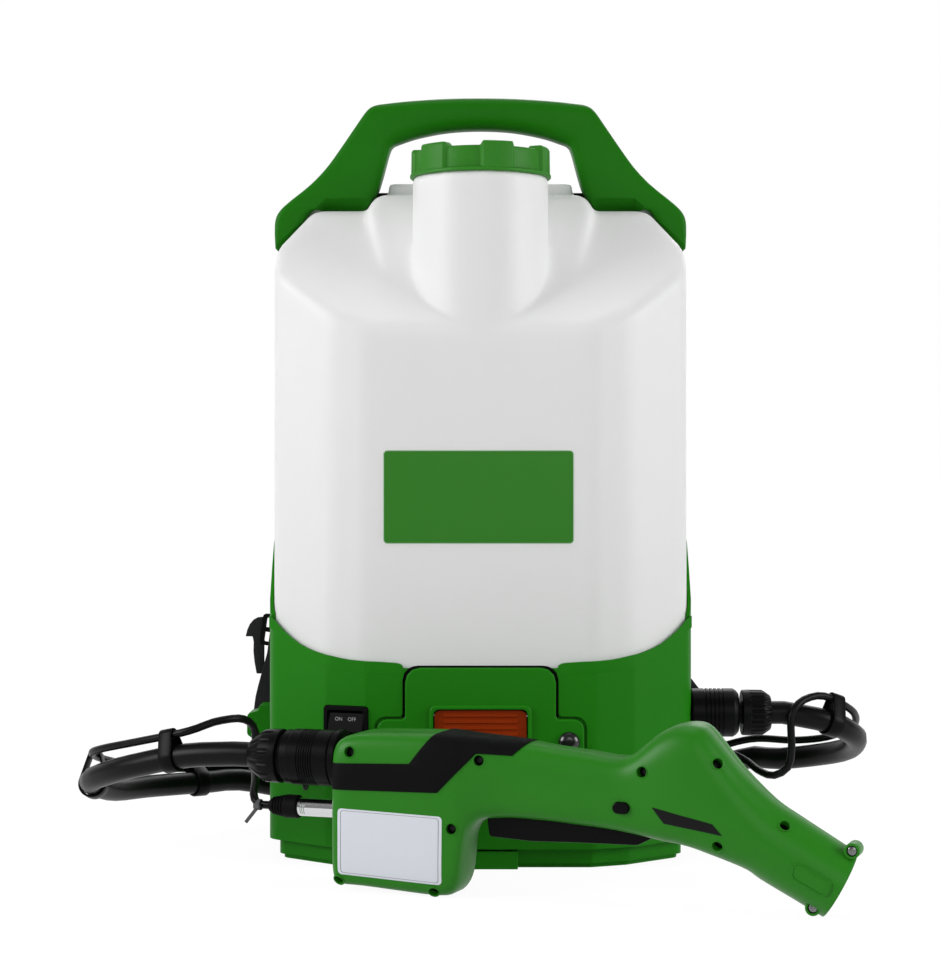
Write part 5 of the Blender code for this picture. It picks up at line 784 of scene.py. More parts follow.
def make_materials():
    colours = bpy.context.scene.sprayer_colours
    base, cap, handle = colours.base[:], colours.cap[:], colours.handle[:]
    trim, fabric = colours.trim[:], colours.fabric[:]
    MATERIALS.update({
        "green": moulded("green plastic", base, 0.42, gloss=0.08),
        "cap green": moulded("cap plastic", cap, 0.46, depth=0.00003, gloss=0.18),
        "handle green": moulded("handle plastic", handle, 0.40, gloss=0.08),
        "spray green": moulded("spray handle plastic", colours.spray[:], 0.38, gloss=0.20),
        "tank": moulded("milky tank plastic", colours.tank[:], 0.42, 700.0, 0.00003, 0.010,
                        gloss=0.30, subsurface=0.4),
        "pipe": moulded("clear pipe", (0.66, 0.70, 0.70), 0.18, subsurface=0.3),
        "module": moulded("module plastic", (0.62, 0.62, 0.60), 0.5),
        "orange": moulded("latch plastic", colours.latch[:], 0.42, gloss=0.08),
        "black": moulded("black plastic", trim, 0.34, 2200.0, 0.00003, 0.15, gloss=0.07),
        "rubber": moulded("black rubber", (0.0030, 0.0030, 0.0032), 0.62, 1500.0, 0.00004, 0.15,
                          gloss=0.07),
        "hose": moulded("hose rubber", (0.0026, 0.0026, 0.0028), 0.34, 900.0, 0.00004, 0.2,
                        gloss=0.12),
        "steel": plated("bright steel", (0.62, 0.62, 0.63), 0.22),
        "brass": plated("brass", (0.60, 0.42, 0.16), 0.28),
        "board": moulded("circuit board", (0.010, 0.110, 0.045), 0.3, gloss=0.5),
        "pad": mesh_cloth("spacer mesh", fabric),
        "web": woven_web("webbing", fabric),
        "label green": moulded("label film", [c * 0.95 for c in cap], 0.32, 400.0, 0.00001, 0.03,
                               gloss=0.20),
        "label white": moulded("white label film", (0.66, 0.68, 0.74), 0.38, 400.0, 0.00001,
                               0.02, gloss=0.35),
        "label line": moulded("label print", (0.20, 0.21, 0.24), 0.45, 400.0, 0.00001, 0.02),
        "mark": moulded("pad print", (0.34, 0.34, 0.34), 0.5, 400.0, 0.00001, 0.02),
        "thread": moulded("stitching thread", (0.040, 0.040, 0.042), 0.8, 1800.0, 0.00008, 0.3),
        "label edge": moulded("label film edge", (0.42, 0.55, 0.42), 0.40, 400.0, 0.00001, 0.02),
        "dark film": moulded("dark label film", (0.0035, 0.0035, 0.0038), 0.34, 400.0, 0.00001,
                             0.1, gloss=0.14),
        "gloss rubber": moulded("polished rubber", (0.006, 0.006, 0.006), 0.20, 900.0, 0.00001,
                                0.1, gloss=0.60),
        "tie": moulded("grey tie", (0.10, 0.10, 0.105), 0.45, 900.0, 0.00002, 0.1),
        "chrome": plated("chrome", (0.66, 0.66, 0.67), 0.10),
        "screw": plated("screw steel", (0.20, 0.20, 0.205), 0.20),
        "dark screw": plated("blackened screw", (0.018, 0.020, 0.018), 0.35),
    })


# ---------------------------------------------------------------------------------------------
# Operators


class SPRAYER_OT_stage(bpy.types.Operator):
    """Builds the floor, the light and the camera"""

    bl_idname = "sprayer.stage"
    bl_label = "Stage"

    def execute(self, context):
        context.scene.view_settings.view_transform = "Standard"
        self.light_world(context.scene)
        self.build_floor(context)
        self.hang_lamps(context.scene)
        self.place_camera(context.scene)
        return {"FINISHED"}

    def light_world(self, scene):
        """A white surround, which lights the object less than it shows to the camera."""
        world = bpy.data.worlds.new("studio")
        world.use_nodes = True
        sky = world.node_tree
        path = sky.nodes.new("ShaderNodeLightPath")
        seen = sky.nodes.new("ShaderNodeMapRange")
        feed(sky, seen, {"Value": path.outputs["Is Camera Ray"], "To Min": 0.27, "To Max": 1.0})
        feed(sky, sky.nodes["Background"], {"Color": (1, 1, 1, 1),
                                            "Strength": seen.outputs["Result"]})
        scene.world = world

    def build_floor(self, context):
        """The floor, which curves up into a backdrop."""
        bpy.ops.mesh.primitive_plane_add(size=1.0)
        floor = named(context.object, "floor")
        floor.scale = (*FLOOR_SIZE, 1.0)
        bpy.ops.object.transform_apply(location=False, rotation=False, scale=True)
        alone(floor)
        bpy.ops.object.mode_set(mode="EDIT")
        pick(floor, "EDGE", lambda edge: all(v.co.y > 0.0 for v in edge.verts))
        bpy.ops.mesh.extrude_region_move(
            TRANSFORM_OT_translate={"value": (0.0, 0.0, BACKDROP_HEIGHT)})
        bpy.ops.object.mode_set(mode="OBJECT")
        modify(floor, "BEVEL", width=1.1, segments=16, limit_method="ANGLE", angle_limit=0.8)
        shaded(floor, 60.0)
        floor.data.materials.append(pale_floor())

    def hang_lamps(self, scene):
        for name, place, size, power in LAMPS:
            lamp = bpy.data.lights.new(name, "AREA")
            lamp.size = size
            lamp.energy = power
            light = bpy.data.objects.new(name, lamp)
            scene.collection.objects.link(light)
            light.location = place
            light.rotation_euler = (AIM - Vector(place)).to_track_quat("-Z", "Y").to_euler()

    def place_camera(self, scene):
        camera = bpy.data.objects.new("camera", bpy.data.cameras.new("camera"))
        scene.collection.objects.link(camera)
        camera.location = CAMERA_PLACE
        camera.rotation_euler = (math.pi / 2, 0.0, 0.0)
        camera.data.sensor_width = 36.0
        camera.data.lens = CAMERA_LENS
        camera.data.shift_x, camera.data.shift_y = CAMERA_SHIFT
        camera.data.clip_start = 0.05
        scene.camera = camera


class SPRAYER_OT_finishes(bpy.types.Operator):
    """Makes the finishes and paints each CAD node"""

    bl_idname = "sprayer.finishes"
    bl_label = "Finishes"

    def execute(self, context):
        make_materials()
        for finish, nodes in FINISHES.items():
            for node in nodes:
                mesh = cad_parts[node].data
                mesh.materials.clear()
                mesh.materials.append(MATERIALS[finish])
        return {"FINISHED"}


class SPRAYER_OT_hose(bpy.types.Operator):
    """Lays the hose and the thin cable that is clipped to it"""

    bl_idname = "sprayer.hose"
    bl_label = "Hose and cable"

    def execute(self, context):
        sizes = context.scene.sprayer_sizes
        tie = self.make_tie()
        hose_line, cable_line = self.hose_path(), self.cable_path()
        hose = round_curve("hose_line", hose_line, sizes.hose / 2, 6)
        dressed(hose, "hose", "base", "hose")
        cable = round_curve("cable_line", cable_line, sizes.cable / 2, 4)
        dressed(cable, "hose", "base", "cable")
        for name, near, node in HOSE_CLIPS:
            clip = self.make_clip(name, Vector(near), hose_line, cable_line, sizes)
            dressed(clip, "black", "base", *([node] if node else []))
        return {"FINISHED"}

    def hose_path(self):
        """The hose's way from the spray handle's swivel to the outlet's nut."""
        start, lead = (SPRAY @ Vector((x, 0.0, SWIVEL_Z)) for x in HOSE_START)
        nut_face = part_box("outlet_nut")[1].x
        end = Vector((nut_face - 0.0010, *OUTLET_PLACE[1:]))
        tail = end + Vector((0.010, 0.0, 0.0))
        return [start, *smooth_line([lead, *HOSE_ROUTE, tail], HOSE_STEP), end]

    def cable_path(self):
        """The cable's way from its gland to the boot of its plug."""
        gland = Vector((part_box("cable_gland")[1].x + 0.0003, *GLAND_PLACE))
        lead = gland + Vector((0.005, 0.0, 0.0))
        tail, boot = (SPRAY @ Vector((x, 0.0, PLUG_Z)) for x in CABLE_END)
        return [gland, *smooth_line([lead, *CABLE_ROUTE, tail], CABLE_STEP), boot]

    def make_clip(self, name, near, hose_line, cable_line, sizes):
        """A moulded band pulled round the hose and the cable beside it."""
        at = min(range(1, len(hose_line) - 1), key=lambda k: (hose_line[k] - near).length)
        spot = hose_line[at]
        along = (hose_line[at + 1] - hose_line[at - 1]).normalized()
        crossings = [p.lerp(q, (spot - p).dot(along) / (q - p).dot(along))
                     for p, q in zip(cable_line, cable_line[1:])
                     if (spot - p).dot(along) * (spot - q).dot(along) <= 0 and p != q]
        other = min(crossings, key=lambda point: (point - spot).length)
        reach = (other - spot).length
        towards = (other - spot).normalized()
        across = along.cross(towards)
        rings = []
        high = CLIP_GAP + CLIP_THICK
        for out, ends in ((CLIP_GAP, -1), (CLIP_GAP, 1), (high, 1), (high, -1)):
            big, small = sizes.hose / 2 + out, sizes.cable / 2 + out
            lean = math.acos((big - small) / reach)
            spots = [(0.0, big, lean + (2 * math.pi - 2 * lean) * k / 32) for k in range(33)]
            spots += [(reach, small, -lean + 2 * lean * k / 14) for k in range(15)]
            rings.append([spot + towards * (far + radius * math.cos(a))
                          + across * radius * math.sin(a) + along * CLIP_HALF * ends
                          for far, radius, a in spots])
        return shaded(rounded_edges(skinned(name, rings, closed=True), 0.0006, 2), 40.0)

    def make_tie(self):
        """The thin tie round the cable beside its plug, with its free end sticking out."""
        spot = SPRAY @ Vector((-0.0520, 0.0, PLUG_Z))
        along = (SPRAY.to_3x3() @ Vector((1.0, 0.0, 0.0))).normalized()
        turn = facing(spot, along)
        loop = spun("loop", [(-0.0014, 0.0030), (0.0014, 0.0030), (0.0014, 0.0037),
                             (-0.0014, 0.0037)], 24, turn)
        head = block("head", (-0.0022, -0.0060, -0.0020), (0.0022, -0.0032, 0.0016))
        head.data.transform(turn)
        start = turn @ Vector((0.0, -0.0046, -0.0018))
        strip = plate("strip", [(-0.0012, 0.0), (0.0012, 0.0), (0.0012, -0.0120),
                                (-0.0012, -0.0120)], -0.0004, 0.0004,
                      Matrix.Translation(start) @ Matrix.Rotation(math.radians(38), 4, "Y"))
        tie = merged("cable_tie", [loop, head, strip])
        rounded_edges(tie, 0.0003, 1)
        return dressed(shaded(tie), "tie", "base")


class SPRAYER_OT_tank(bpy.types.Operator):
    """Blows the tank: its body, the apron round its neck, its ledge and its mouth"""

    bl_idname = "sprayer.tank"
    bl_label = "Tank"

    def execute(self, context):
        sizes = context.scene.sprayer_sizes
        outside = self.form("tank", 0.0, sizes.tank_edge)
        modify(outside, "REMESH", mode="VOXEL", voxel_size=sizes.tank_grid)
        modify(outside, "SMOOTH", factor=0.5, iterations=5)
        hollow = self.form("hollow", TANK_WALL, sizes.tank_edge - TANK_WALL)
        half, depth, height = POCKET
        low, front = TANK_LOW[2], TANK_LOW[1]
        kept = block("kept", (-half - TANK_WALL, front - 0.01, low - 0.01),
                     (half + TANK_WALL, front + depth + POCKET_WALL, low + height + TANK_WALL))
        cut(hollow, kept)
        bore = rod("bore", MOUTH_RADIUS - 0.0032, (0.0, NECK_Y, NECK_TOP - 0.02),
                   (0.0, NECK_Y, MOUTH_TOP + 0.01), 96)
        pocket = block("pocket", (-half, front - 0.01, low - 0.01),
                       (half, front + depth, low + height))
        outlet = rod("outlet", OUTLET_RADIUS, (0.0, OUTLET_Y, low - 0.01),
                     (0.0, OUTLET_Y, low + 0.01))
        tank = cut(outside, joined(hollow, bore), joined(pocket, outlet))
        dressed(shaded(tank, 50.0), "tank", "tank", "tank_shell")
        self.make_thread()
        return {"FINISHED"}

    def form(self, name, inset, edge):
        """The tank's outside, or its hollow when it is inset."""
        body = self.form_body(name, inset, edge)
        neck = rod("neck", NECK_RADIUS - inset, (0.0, NECK_Y, FACE_TOP - 0.040),
                   (0.0, NECK_Y, NECK_TOP - inset * 1.5), 128)
        ledge = block("ledge", (-LEDGE_HALF + inset, LEDGE_FRONT + inset, TANK_TOP - LEDGE_SINK),
                      (LEDGE_HALF - inset, TANK_HIGH[1] - inset, LEDGE_TOP - inset))
        joined(body, self.form_apron(inset), ledge, neck)
        if not inset:
            joined(body, rod("mouth", MOUTH_RADIUS, (0.0, NECK_Y, NECK_TOP - 0.01),
                             (0.0, NECK_Y, MOUTH_TOP), 96))
        return body

    def form_body(self, name, inset, edge):
        """The tank's body, with its chamfered corners, its slope and its cut shoulders."""
        side = TANK_HIGH[0] - inset
        body = block(name, (-side, TANK_LOW[1] + inset, TANK_LOW[2] + inset),
                     (side, TANK_HIGH[1] - inset, TANK_TOP - inset))
        slope = Vector((0.0, -(TANK_TOP - FACE_TOP), SLOPE_RUN)).normalized()
        planes = [(Vector((0.0, TANK_LOW[1], FACE_TOP)), slope)]
        for way in (-1, 1):
            for (x0, y0), (x1, y1) in zip(BASE_CORNERS, BASE_CORNERS[1:]):
                out = Vector(((y1 - y0) * way, x0 - x1, 0.0)).normalized()
                planes.append((Vector((x0 * way, y0, 0.0)) - out * CUP_INSET, out))
            planes.append((Vector((TANK_HIGH[0] * way, 0.0, TANK_TOP - CUT_DROP)),
                           Vector((CUT_DROP * way, 0.0, CUT_RUN)).normalized()))
        self.sliced(body, [(point - out * inset, out) for point, out in planes])
        return rounded_edges(body, edge, 5, 8.0)

    def form_apron(self, inset):
        """The apron round the neck, which spreads towards its foot."""
        apron = block("apron", (-0.1, TANK_LOW[1] + 0.001, TANK_TOP - APRON_DROP),
                      (0.1, LEDGE_FRONT + 0.0109 - inset, TANK_TOP + APRON_RISE - inset))
        top, foot, low = APRON_HALF
        run = Vector((0.0, SLOPE_RUN + TANK_LOW[1] - APRON_LOW[0],
                      TANK_TOP + APRON_RISE - APRON_LOW[1]))
        planes = [(Vector((0.0, *APRON_LOW)), Vector((0.0, -run.z, run.y)).normalized())]
        for way in (-1, 1):
            planes.append((Vector((way * top, 0.0, TANK_TOP + APRON_RISE)),
                           Vector((APRON_RISE * way, 0.0, foot - top)).normalized()))
            planes.append((Vector((way * foot, 0.0, TANK_TOP)),
                           Vector((APRON_DROP * way, 0.0, low - foot)).normalized()))
        self.sliced(apron, [(point - out * inset, out) for point, out in planes])
        return rounded_edges(apron, 0.0060, 4, 20.0)

    def sliced(self, piece, planes):
        """Cuts a convex shape back to planes, each a point and its outward direction."""
        def slice_off(point, out):
            return lambda: bpy.ops.mesh.bisect(plane_co=point, plane_no=out, use_fill=True,
                                               clear_outer=True)
        edited(piece, *(slice_off(point, out) for point, out in planes), weld(0.00005))

    def make_thread(self):
        """The coarse thread round the mouth, under the cap."""
        line = []
        for k in range(THREAD_STEPS + 1):
            angle = 4 * math.pi * k / THREAD_STEPS
            sink = 0.0007 * (1 - min(k, THREAD_STEPS - k, 12) / 12)
            radius = MOUTH_RADIUS - 0.0004 - sink
            line.append((radius * math.cos(angle), NECK_Y + radius * math.sin(angle),
                         NECK_TOP + 0.0034 + THREAD_RISE * k / THREAD_STEPS))
        thread = as_mesh(round_curve("tank_thread", line, THREAD_RADIUS, 2))
        dressed(shaded(thread, 60.0), "tank", "tank")


class SPRAYER_OT_cap(bpy.types.Operator):
    """Moulds the screw cap with its flange and its raised lobes"""

    bl_idname = "sprayer.cap"
    bl_label = "Cap"

    def execute(self, context):
        bore, ceiling = MOUTH_RADIUS + 0.0008, MOUTH_TOP + 0.0015
        wall, low, rim = CAP_RADIUS, CAP_BOTTOM, CAP_RIM
        rings = [self.ring(*row) for row in (
            (bore, ceiling), (bore, low + 0.0004), (bore + 0.0004, low),
            (wall - 0.0006, low), (wall, low + 0.0006), (wall, low + 0.0018),
            (wall - 0.0003, low + 0.0024), (wall - 0.0007, low + 0.0027, 0.4),
            (wall - 0.0007, low + 0.0033, 1.0), (wall - 0.0008, (low + rim) / 2, 1.0, 0.5),
            (wall - 0.0009, rim - 0.0022, 1.0, 1.0), (wall - 0.0012, rim - 0.0012, 1.0, 1.0),
            (wall - 0.0018, rim - 0.0004, 0.9, 1.0), (wall - 0.0027, rim, 0.8, 1.0),
            (wall - 0.0105, rim, 0.0, 1.0), (wall - 0.0116, rim - 0.0003, 0.0, 0.9),
            (wall - 0.0135, rim - 0.0003, 0.0, 0.0), (wall - 0.0300, rim - 0.0004),
            (wall - 0.0310, rim - 0.0009), (wall - 0.0400, rim - 0.0009))]
        cap = shaded(skinned("cap", rings), 32.0)
        dressed(cap, "cap green", "cap", "tank_cap")
        return {"FINISHED"}

    def ring(self, radius, height, lobed=0.0, risen=0.0):
        """A ring of the cap, with its share of the depth and the rise of the lobes."""
        points = []
        for k in range(CAP_STEPS):
            angle = 2 * math.pi * k / CAP_STEPS
            turn = (math.degrees(angle) - LOBE_START) % (360 / CAP_LOBES)
            away = min(turn, 360 / CAP_LOBES - turn)
            share = clamped((LOBE_HALF - away) / LOBE_EDGE)
            lobe = share * share * (3 - 2 * share)
            reach = radius - LOBE_DEEP * lobed * (1 - lobe)
            points.append((reach * math.sin(angle), NECK_Y - reach * math.cos(angle),
                           height + LOBE_RISE * risen * lobe))
        return points


class SPRAYER_OT_handle(bpy.types.Operator):
    """Moulds the arched carry handle"""

    bl_idname = "sprayer.handle"
    bl_label = "Carry handle"

    def execute(self, context):
        right = [[*row[:4], HANDLE_HALF, row[4], 0.0, 0.0, 0.0, 0.0] for row in HANDLE_RIBS]
        left = [[-row[0], row[1], -row[2], row[3], *row[4:]] for row in right[:0:-1]]
        handle = rib_loft("handle", blended_rows(left + right, 4), 20, middle=HANDLE_MIDDLE)
        front = HANDLE_MIDDLE - HANDLE_HALF
        for way in (-1, 1):
            rings = [[(x * way, front - 0.0005, high), (x * way, front - 0.0005, low),
                      (x * way, front + 0.0115, low)] for x, high, low in FOOT_BAND]
            cut(handle, skinned("band", rings))
        rounded_edges(handle, 0.0010, 3, 36.0)
        dressed(shaded(handle, 50.0), "handle green", "tank", "carry_handle")
        return {"FINISHED"}


class SPRAYER_OT_base(bpy.types.Operator):
    """Sweeps and rolls the cup's rim, rounds the mouldings, and adds the screws and a dark sheet
    of painted shade behind the panel's groove
    """

    bl_idname = "sprayer.base"
    bl_label = "Base"

    def execute(self, context):
        edge = context.scene.sprayer_sizes.edge
        shell = copied("base_shell", "base")
        start, side = RIM_CURVE[0][0], RIM_CURVE[-1][0] + 0.0006
        for way in (-1, 1):
            outline = [(x * way, z - RIM_SINK) for x, z in RIM_CURVE]
            outline += [(side * way, CUP_ABOVE), (start * way, CUP_ABOVE)]
            cut(shell, plate("sweep", outline, *CUP_DEEP))
        start += 0.0003
        low, high = PANEL_TOP - 0.0003, 0.1600
        cut(shell, plate("notch", [(-start, low), (start, low), (start, high), (-start, high)],
                         CUP_DEEP[0], -0.0800))
        self.make_rim(edge)
        rounded_edges(shell, edge, 2)
        dressed(shaded(shell, 38.0, flats=True), "green", "base", "base_shell")
        # painted shade: a dark sheet behind the groove round the front panel
        self.make_gap_shade()
        refined("base_plate", "base_foot", "green", "base", edge)
        refined("front_panel", "panel", "green", "base", edge * 1.5, 3)
        for side in ("left", "right"):
            refined(f"strap_anchor_{side}", f"anchor_{side}", "green", "base", edge)
        screws = []
        for way in (-1, 1):
            mirror = Vector((way, 1.0, 1.0))
            screws.append(screw_head("screw", Vector(BASE_SCREW) * mirror,
                                     (Vector(BASE_SCREW_WAY) * mirror).normalized(), 0.0030))
        dressed(shaded(merged("base_screws", screws)), "dark screw", "base")
        return {"FINISHED"}

    def make_rim(self, edge):
        """The rolled rim of the cup, which sweeps up from the front panel to the sides."""
        halves = []
        for way in (-1, 1):
            outer = [(RIM_START, BASE_CORNERS[0][1]), *BASE_CORNERS]
            corners = [(x * way, y - RIM_PROUD) for x, y in outer]
            corners += [((x - RIM_WALL * k) * way, y + RIM_WALL) for (x, y), k
                        in zip(outer[::-1], RIM_LEAN)]
            strip = skinned("rim", [[(x, y, z) for x, y in corners] for z in RIM_RISE])
            band = [(x * way, z) for x, z in RIM_CURVE]
            band += [(x * way, z - RIM_BAND) for x, z in RIM_CURVE[:2:-1]]
            combined(strip, "INTERSECT", plate("band", band, *RIM_DEEP))
            halves.append(rounded_edges(strip, edge * 0.6, 2))
        dressed(shaded(merged("base_rim", halves), 38.0, flats=True), "green", "base")

    def make_gap_shade(self):
        """A dark sheet behind the groove round the front panel's stem, which paints the shade in
        that gap.
        """
        outer, inner = PANEL_HALF + 0.0040, PANEL_HALF - 0.0030
        # Painted shade: this dark sheet only makes the groove round the panel read dark.
        gap_shade = plate("panel_seal", rectangle((-outer, 0.0980), (outer, PANEL_TOP + 0.0013),
                                             0.0130), -0.0824, -0.0821)
        cut(gap_shade, plate("inner", rectangle((-inner, 0.0900), (inner, PANEL_TOP - 0.0040), 0.0070),
                        -0.09, -0.08))
        dressed(gap_shade, "rubber", "base")


class SPRAYER_OT_latch(bpy.types.Operator):
    """Rounds the ribbed release latch"""

    bl_idname = "sprayer.latch"
    bl_label = "Tank release"

    def execute(self, context):
        refined("release_latch", "latch", "orange", "latch", 0.0003, 2, 30.0)
        return {"FINISHED"}


class SPRAYER_OT_switch(bpy.types.Operator):
    """Finishes the power switch and prints its ON and OFF"""

    bl_idname = "sprayer.switch"
    bl_label = "Power switch"

    def execute(self, context):
        refined("rocker_bezel", "bezel", "black", "base", 0.0005)
        refined("power_rocker", "rocker", "black", "rocker", 0.0005)
        refined("port_cap", "port_plug", "gloss rubber", "port_plug", 0.0005, 3, 25.0)
        self.print_words()
        return {"FINISHED"}

    def print_words(self):
        """The ON and OFF on the face of the rocker, which rides with it."""
        right, left = (Vector((-x, y)) for x, y in BASE_CORNERS[:2])
        turn = Matrix.Rotation(math.atan2(right.y - left.y, right.x - left.x), 4, "Z")
        place = Matrix.Translation((*((left + right) / 2), ROCKER_Z)) @ turn
        low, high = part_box("power_rocker")
        words = []
        for text, at_x in (("ON", -0.0052), ("OFF", 0.0048)):
            bpy.ops.object.select_all(action="DESELECT")
            bpy.ops.object.text_add()
            word = bpy.context.object
            word.data.body = text
            word.data.size = 0.0036
            word.data.align_x = "CENTER"
            word.data.extrude = 0.00006
            word = as_mesh(word)
            at = Matrix.Translation((at_x, 0.0, (high.z - low.z) / 2 - 0.0052))
            word.data.transform(place @ at @ Matrix.Rotation(math.pi / 2, 4, "X"))
            words.append(word)
        marks = merged("rocker_marks", words)
        seated(marks, bpy.data.objects["rocker"], place.to_3x3() @ Vector((0, 1, 0)), 0.00005)
        dressed(marks, "mark", "rocker")


def seated(piece, target, along, gap):
    """Moves a piece along a direction until its nearest corner lies a gap before a surface."""
    along = Vector(along).normalized()
    nearest = None
    for corner in piece.data.vertices:
        hit, spot, _, _ = target.ray_cast(corner.co - along * 0.05, along)
        if hit:
            away = (spot - corner.co).dot(along)
            nearest = away if nearest is None else min(nearest, away)
    piece.data.transform(Matrix.Translation(along * ((nearest or 0.0) - gap)))
    return piece


def screw_head(name, spot, out, radius):
    """A pan head with a cross slot, which faces out from its spot."""
    head = spun(name, [(-0.0006, 0.0), (-0.0006, radius), (0.0002, radius),
                       (0.0008, radius * 0.72), (0.0010, 0.0)], 24)
    arm, half = radius * 0.55, radius * 0.13
    cut(head, block("slot", (0.0003, -arm, -half), (0.0020, arm, half)),
        block("slot", (0.0003, -half, -arm), (0.0020, half, arm)))
    head.data.transform(facing(spot, out))
    return head


def gun_rows(mouth=0.0):
    """The spray handle's ribs, closely set, with its muzzle's."""
    rows = []
    for rib in GUN_RIBS:
        near, far = HEEL.get(rib[0], (0.0, 0.0))
        rows.append([*rib, near, 0.0, far, 0.0])
    stops = [*MUZZLE_STOPS, (-mouth, *MUZZLE_STOPS[-1][1:])] if mouth else MUZZLE_STOPS
    for back, radius, near, far in stops:
        middle = MUZZLE_END - MUZZLE_AXIS * back
        low, high = middle - MUZZLE_UP * radius, middle + MUZZLE_UP * radius
        rows.append([*low, *high, radius, 2.0, *(MUZZLE_AXIS * near), *(MUZZLE_AXIS * far)])
    return blended_rows(rows, 3)


def gun_patch(name, outline, proud, sunk, near_only=True):
    """A thin patch of the spray handle's skin inside an outline, standing a little proud."""
    patch = rib_loft(name, gun_rows(), inset=-proud)
    tool = plate("outline", outline, -GUN_REACH, 0.0 if near_only else GUN_REACH)
    combined(patch, "INTERSECT", tool)
    return cut(patch, rib_loft("core", gun_rows(), inset=sunk))


def gun_frame(name, corners, outer, inner, steps, proud, sunk):
    """A thin frame on the spray handle's skin, between two outlines.

    Outer and inner are each a share of the corners' way from their middle, and a radius.
    """
    middle = sum((Vector(corner) for corner in corners), Vector((0.0, 0.0))) / len(corners)
    outlines = [rounded([middle.lerp(Vector(corner), share) for corner in corners], radius, steps)
                for share, radius in (outer, inner)]
    return cut(gun_patch(name, outlines[0], proud, sunk),
               plate("inner", outlines[1], -0.050, 0.010))


def put_in_gun(piece, finish, *nodes, sharp=40.0):
    """Shades and dresses a piece that was made in the spray handle's own frame."""
    shaded(piece, sharp)
    piece.data.transform(SPRAY)
    return dressed(piece, finish, "base", *nodes)


class SPRAYER_OT_spray_handle(bpy.types.Operator):
    """Moulds the two half shells of the spray handle, with its screws"""

    bl_idname = "sprayer.spray_handle"
    bl_label = "Spray handle"

    def execute(self, context):
        whole = rib_loft("gun_whole", gun_rows())
        joined(whole, *[rod("lug", LUG_RADIUS, (x, -LUG_REACH, z), (x, LUG_BACK, z), 32)
                        for x, z in LUGS])
        for name, side in (("gun_far", 1), ("gun_near", -1)):
            shell = new_piece(name, whole.data.copy())
            other = sorted((-0.050 * side, SEAM * side))
            cut(shell, block("other", (-0.020, other[0], -0.020), (0.400, other[1], 0.200)))
            edited(shell, weld(0.00002))
            rounded_edges(shell, 0.0007, 2, 40.0)
            cut(shell, rib_loft("hollow", self.hollow_rows(), inset=GUN_WALL), *self.openings())
            spots = self.surface(shell)
            if side < 0:
                cut(shell, *[rod("hole", 0.0035, spot + out * 0.006, spot - out * 0.006, 32)
                             for spot, out in spots],
                    *[rod("hole", 0.0034, (x, -LUG_REACH - 0.002, z),
                          (x, -LUG_REACH + 0.0018, z), 32) for x, z in LUGS])
            put_in_gun(shell, "spray green", f"gun_shell_{name[4:]}")
        bpy.data.objects.remove(whole)
        self.make_screws(spots)
        return {"FINISHED"}

    def hollow_rows(self):
        """The ribs of the hollow, which stays off the step behind the trigger."""
        rows = gun_rows(0.010)[3:]
        for row in rows:
            share = min((row[0] - STEP_SPAN[0]) / STEP_EASE[0],
                        (STEP_SPAN[1] - row[0]) / STEP_EASE[1])
            row[0] -= GUN_WALL * clamped(share)
        return rows

    def openings(self):
        """The trigger's slot, the ways in for the hose and cable, the lock's and the grip's."""
        x, z = LOCK_PLACE
        recess = plate("recess", rounded(GRIP_BAND, 0.0010, 2), -GUN_REACH, GUN_REACH)
        return [block("slot", (TRIGGER_SLOT[0], -TRIGGER_HALF, 0.0482),
                      (TRIGGER_SLOT[1], TRIGGER_HALF, 0.060)),
                rod("swivel", 0.0084, (0.004, 0.0, SWIVEL_Z), (0.016, 0.0, SWIVEL_Z)),
                rod("plug", 0.0062, (0.004, 0.0, PLUG_Z), (0.016, 0.0, PLUG_Z)),
                plate("lock", rectangle((x - 0.0056, z - 0.0038), (x + 0.0056, z + 0.0038),
                                        0.0037), -GUN_REACH, GUN_REACH),
                cut(recess, rib_loft("core", gun_rows(), inset=0.0012))]

    def surface(self, shell):
        """Where each screw hole meets the near shell, and which way the shell faces there."""
        spots = []
        for x, z in GUN_SCREWS:
            _, spot, out, _ = shell.ray_cast(Vector((x, -0.05, z)), Vector((0.0, 1.0, 0.0)))
            spots.append((spot, out))
        return spots

    def make_screws(self, spots):
        """The sleeve round each screw hole, the screw at its foot, and the bright lug screws."""
        sleeves, screws = [], []
        for spot, out in spots:
            sleeves.append(spun("sleeve", [(-0.0060, 0.0033), (0.0001, 0.0033), (0.0004, 0.0036),
                                           (0.0003, 0.0040), (-0.0003, 0.0042),
                                           (-0.0006, 0.0036), (-0.0060, 0.0036)], 32,
                                facing(spot, out)))
            screws.append(screw_head("screw", spot - out * 0.0042, out, 0.0031))
        put_in_gun(merged("gun_sleeves", sleeves), "spray green", sharp=38.0)
        put_in_gun(merged("gun_screws", screws), "dark screw", sharp=38.0)
        bright = [screw_head("screw", Vector((x, -LUG_REACH + 0.0012, z)), Vector((0, -1, 0)),
                             0.0031) for x, z in LUGS]
        put_in_gun(merged("lug_screws", bright), "screw", sharp=38.0)


class SPRAYER_OT_grip(bpy.types.Operator):
    """Moulds the soft band of the grip"""

    bl_idname = "sprayer.grip"
    bl_label = "Grip"

    def execute(self, context):
        grip = gun_patch("grip", rounded(GRIP_BAND, 0.0010, 3), 0.0006, 0.0010, near_only=False)
        put_in_gun(rounded_edges(grip, 0.0003, 2, 40.0), "rubber", "grip_overmould")
        return {"FINISHED"}


class SPRAYER_OT_trigger(bpy.types.Operator):
    """Rounds the trigger and its lock, and finishes the nozzle"""

    bl_idname = "sprayer.trigger"
    bl_label = "Trigger and nozzle"

    def execute(self, context):
        refined("trigger", "lever", "black", "trigger_lever", 0.0016, 3)
        refined("trigger_lock", "lock_button", "black", "lock_bolt", 0.0004)
        refined("nozzle_holder", "nozzle_seat", "black", "base", 0.0004)
        refined("nozzle_dial", "nozzle_ring", "black", "dial", 0.0003)
        return {"FINISHED"}


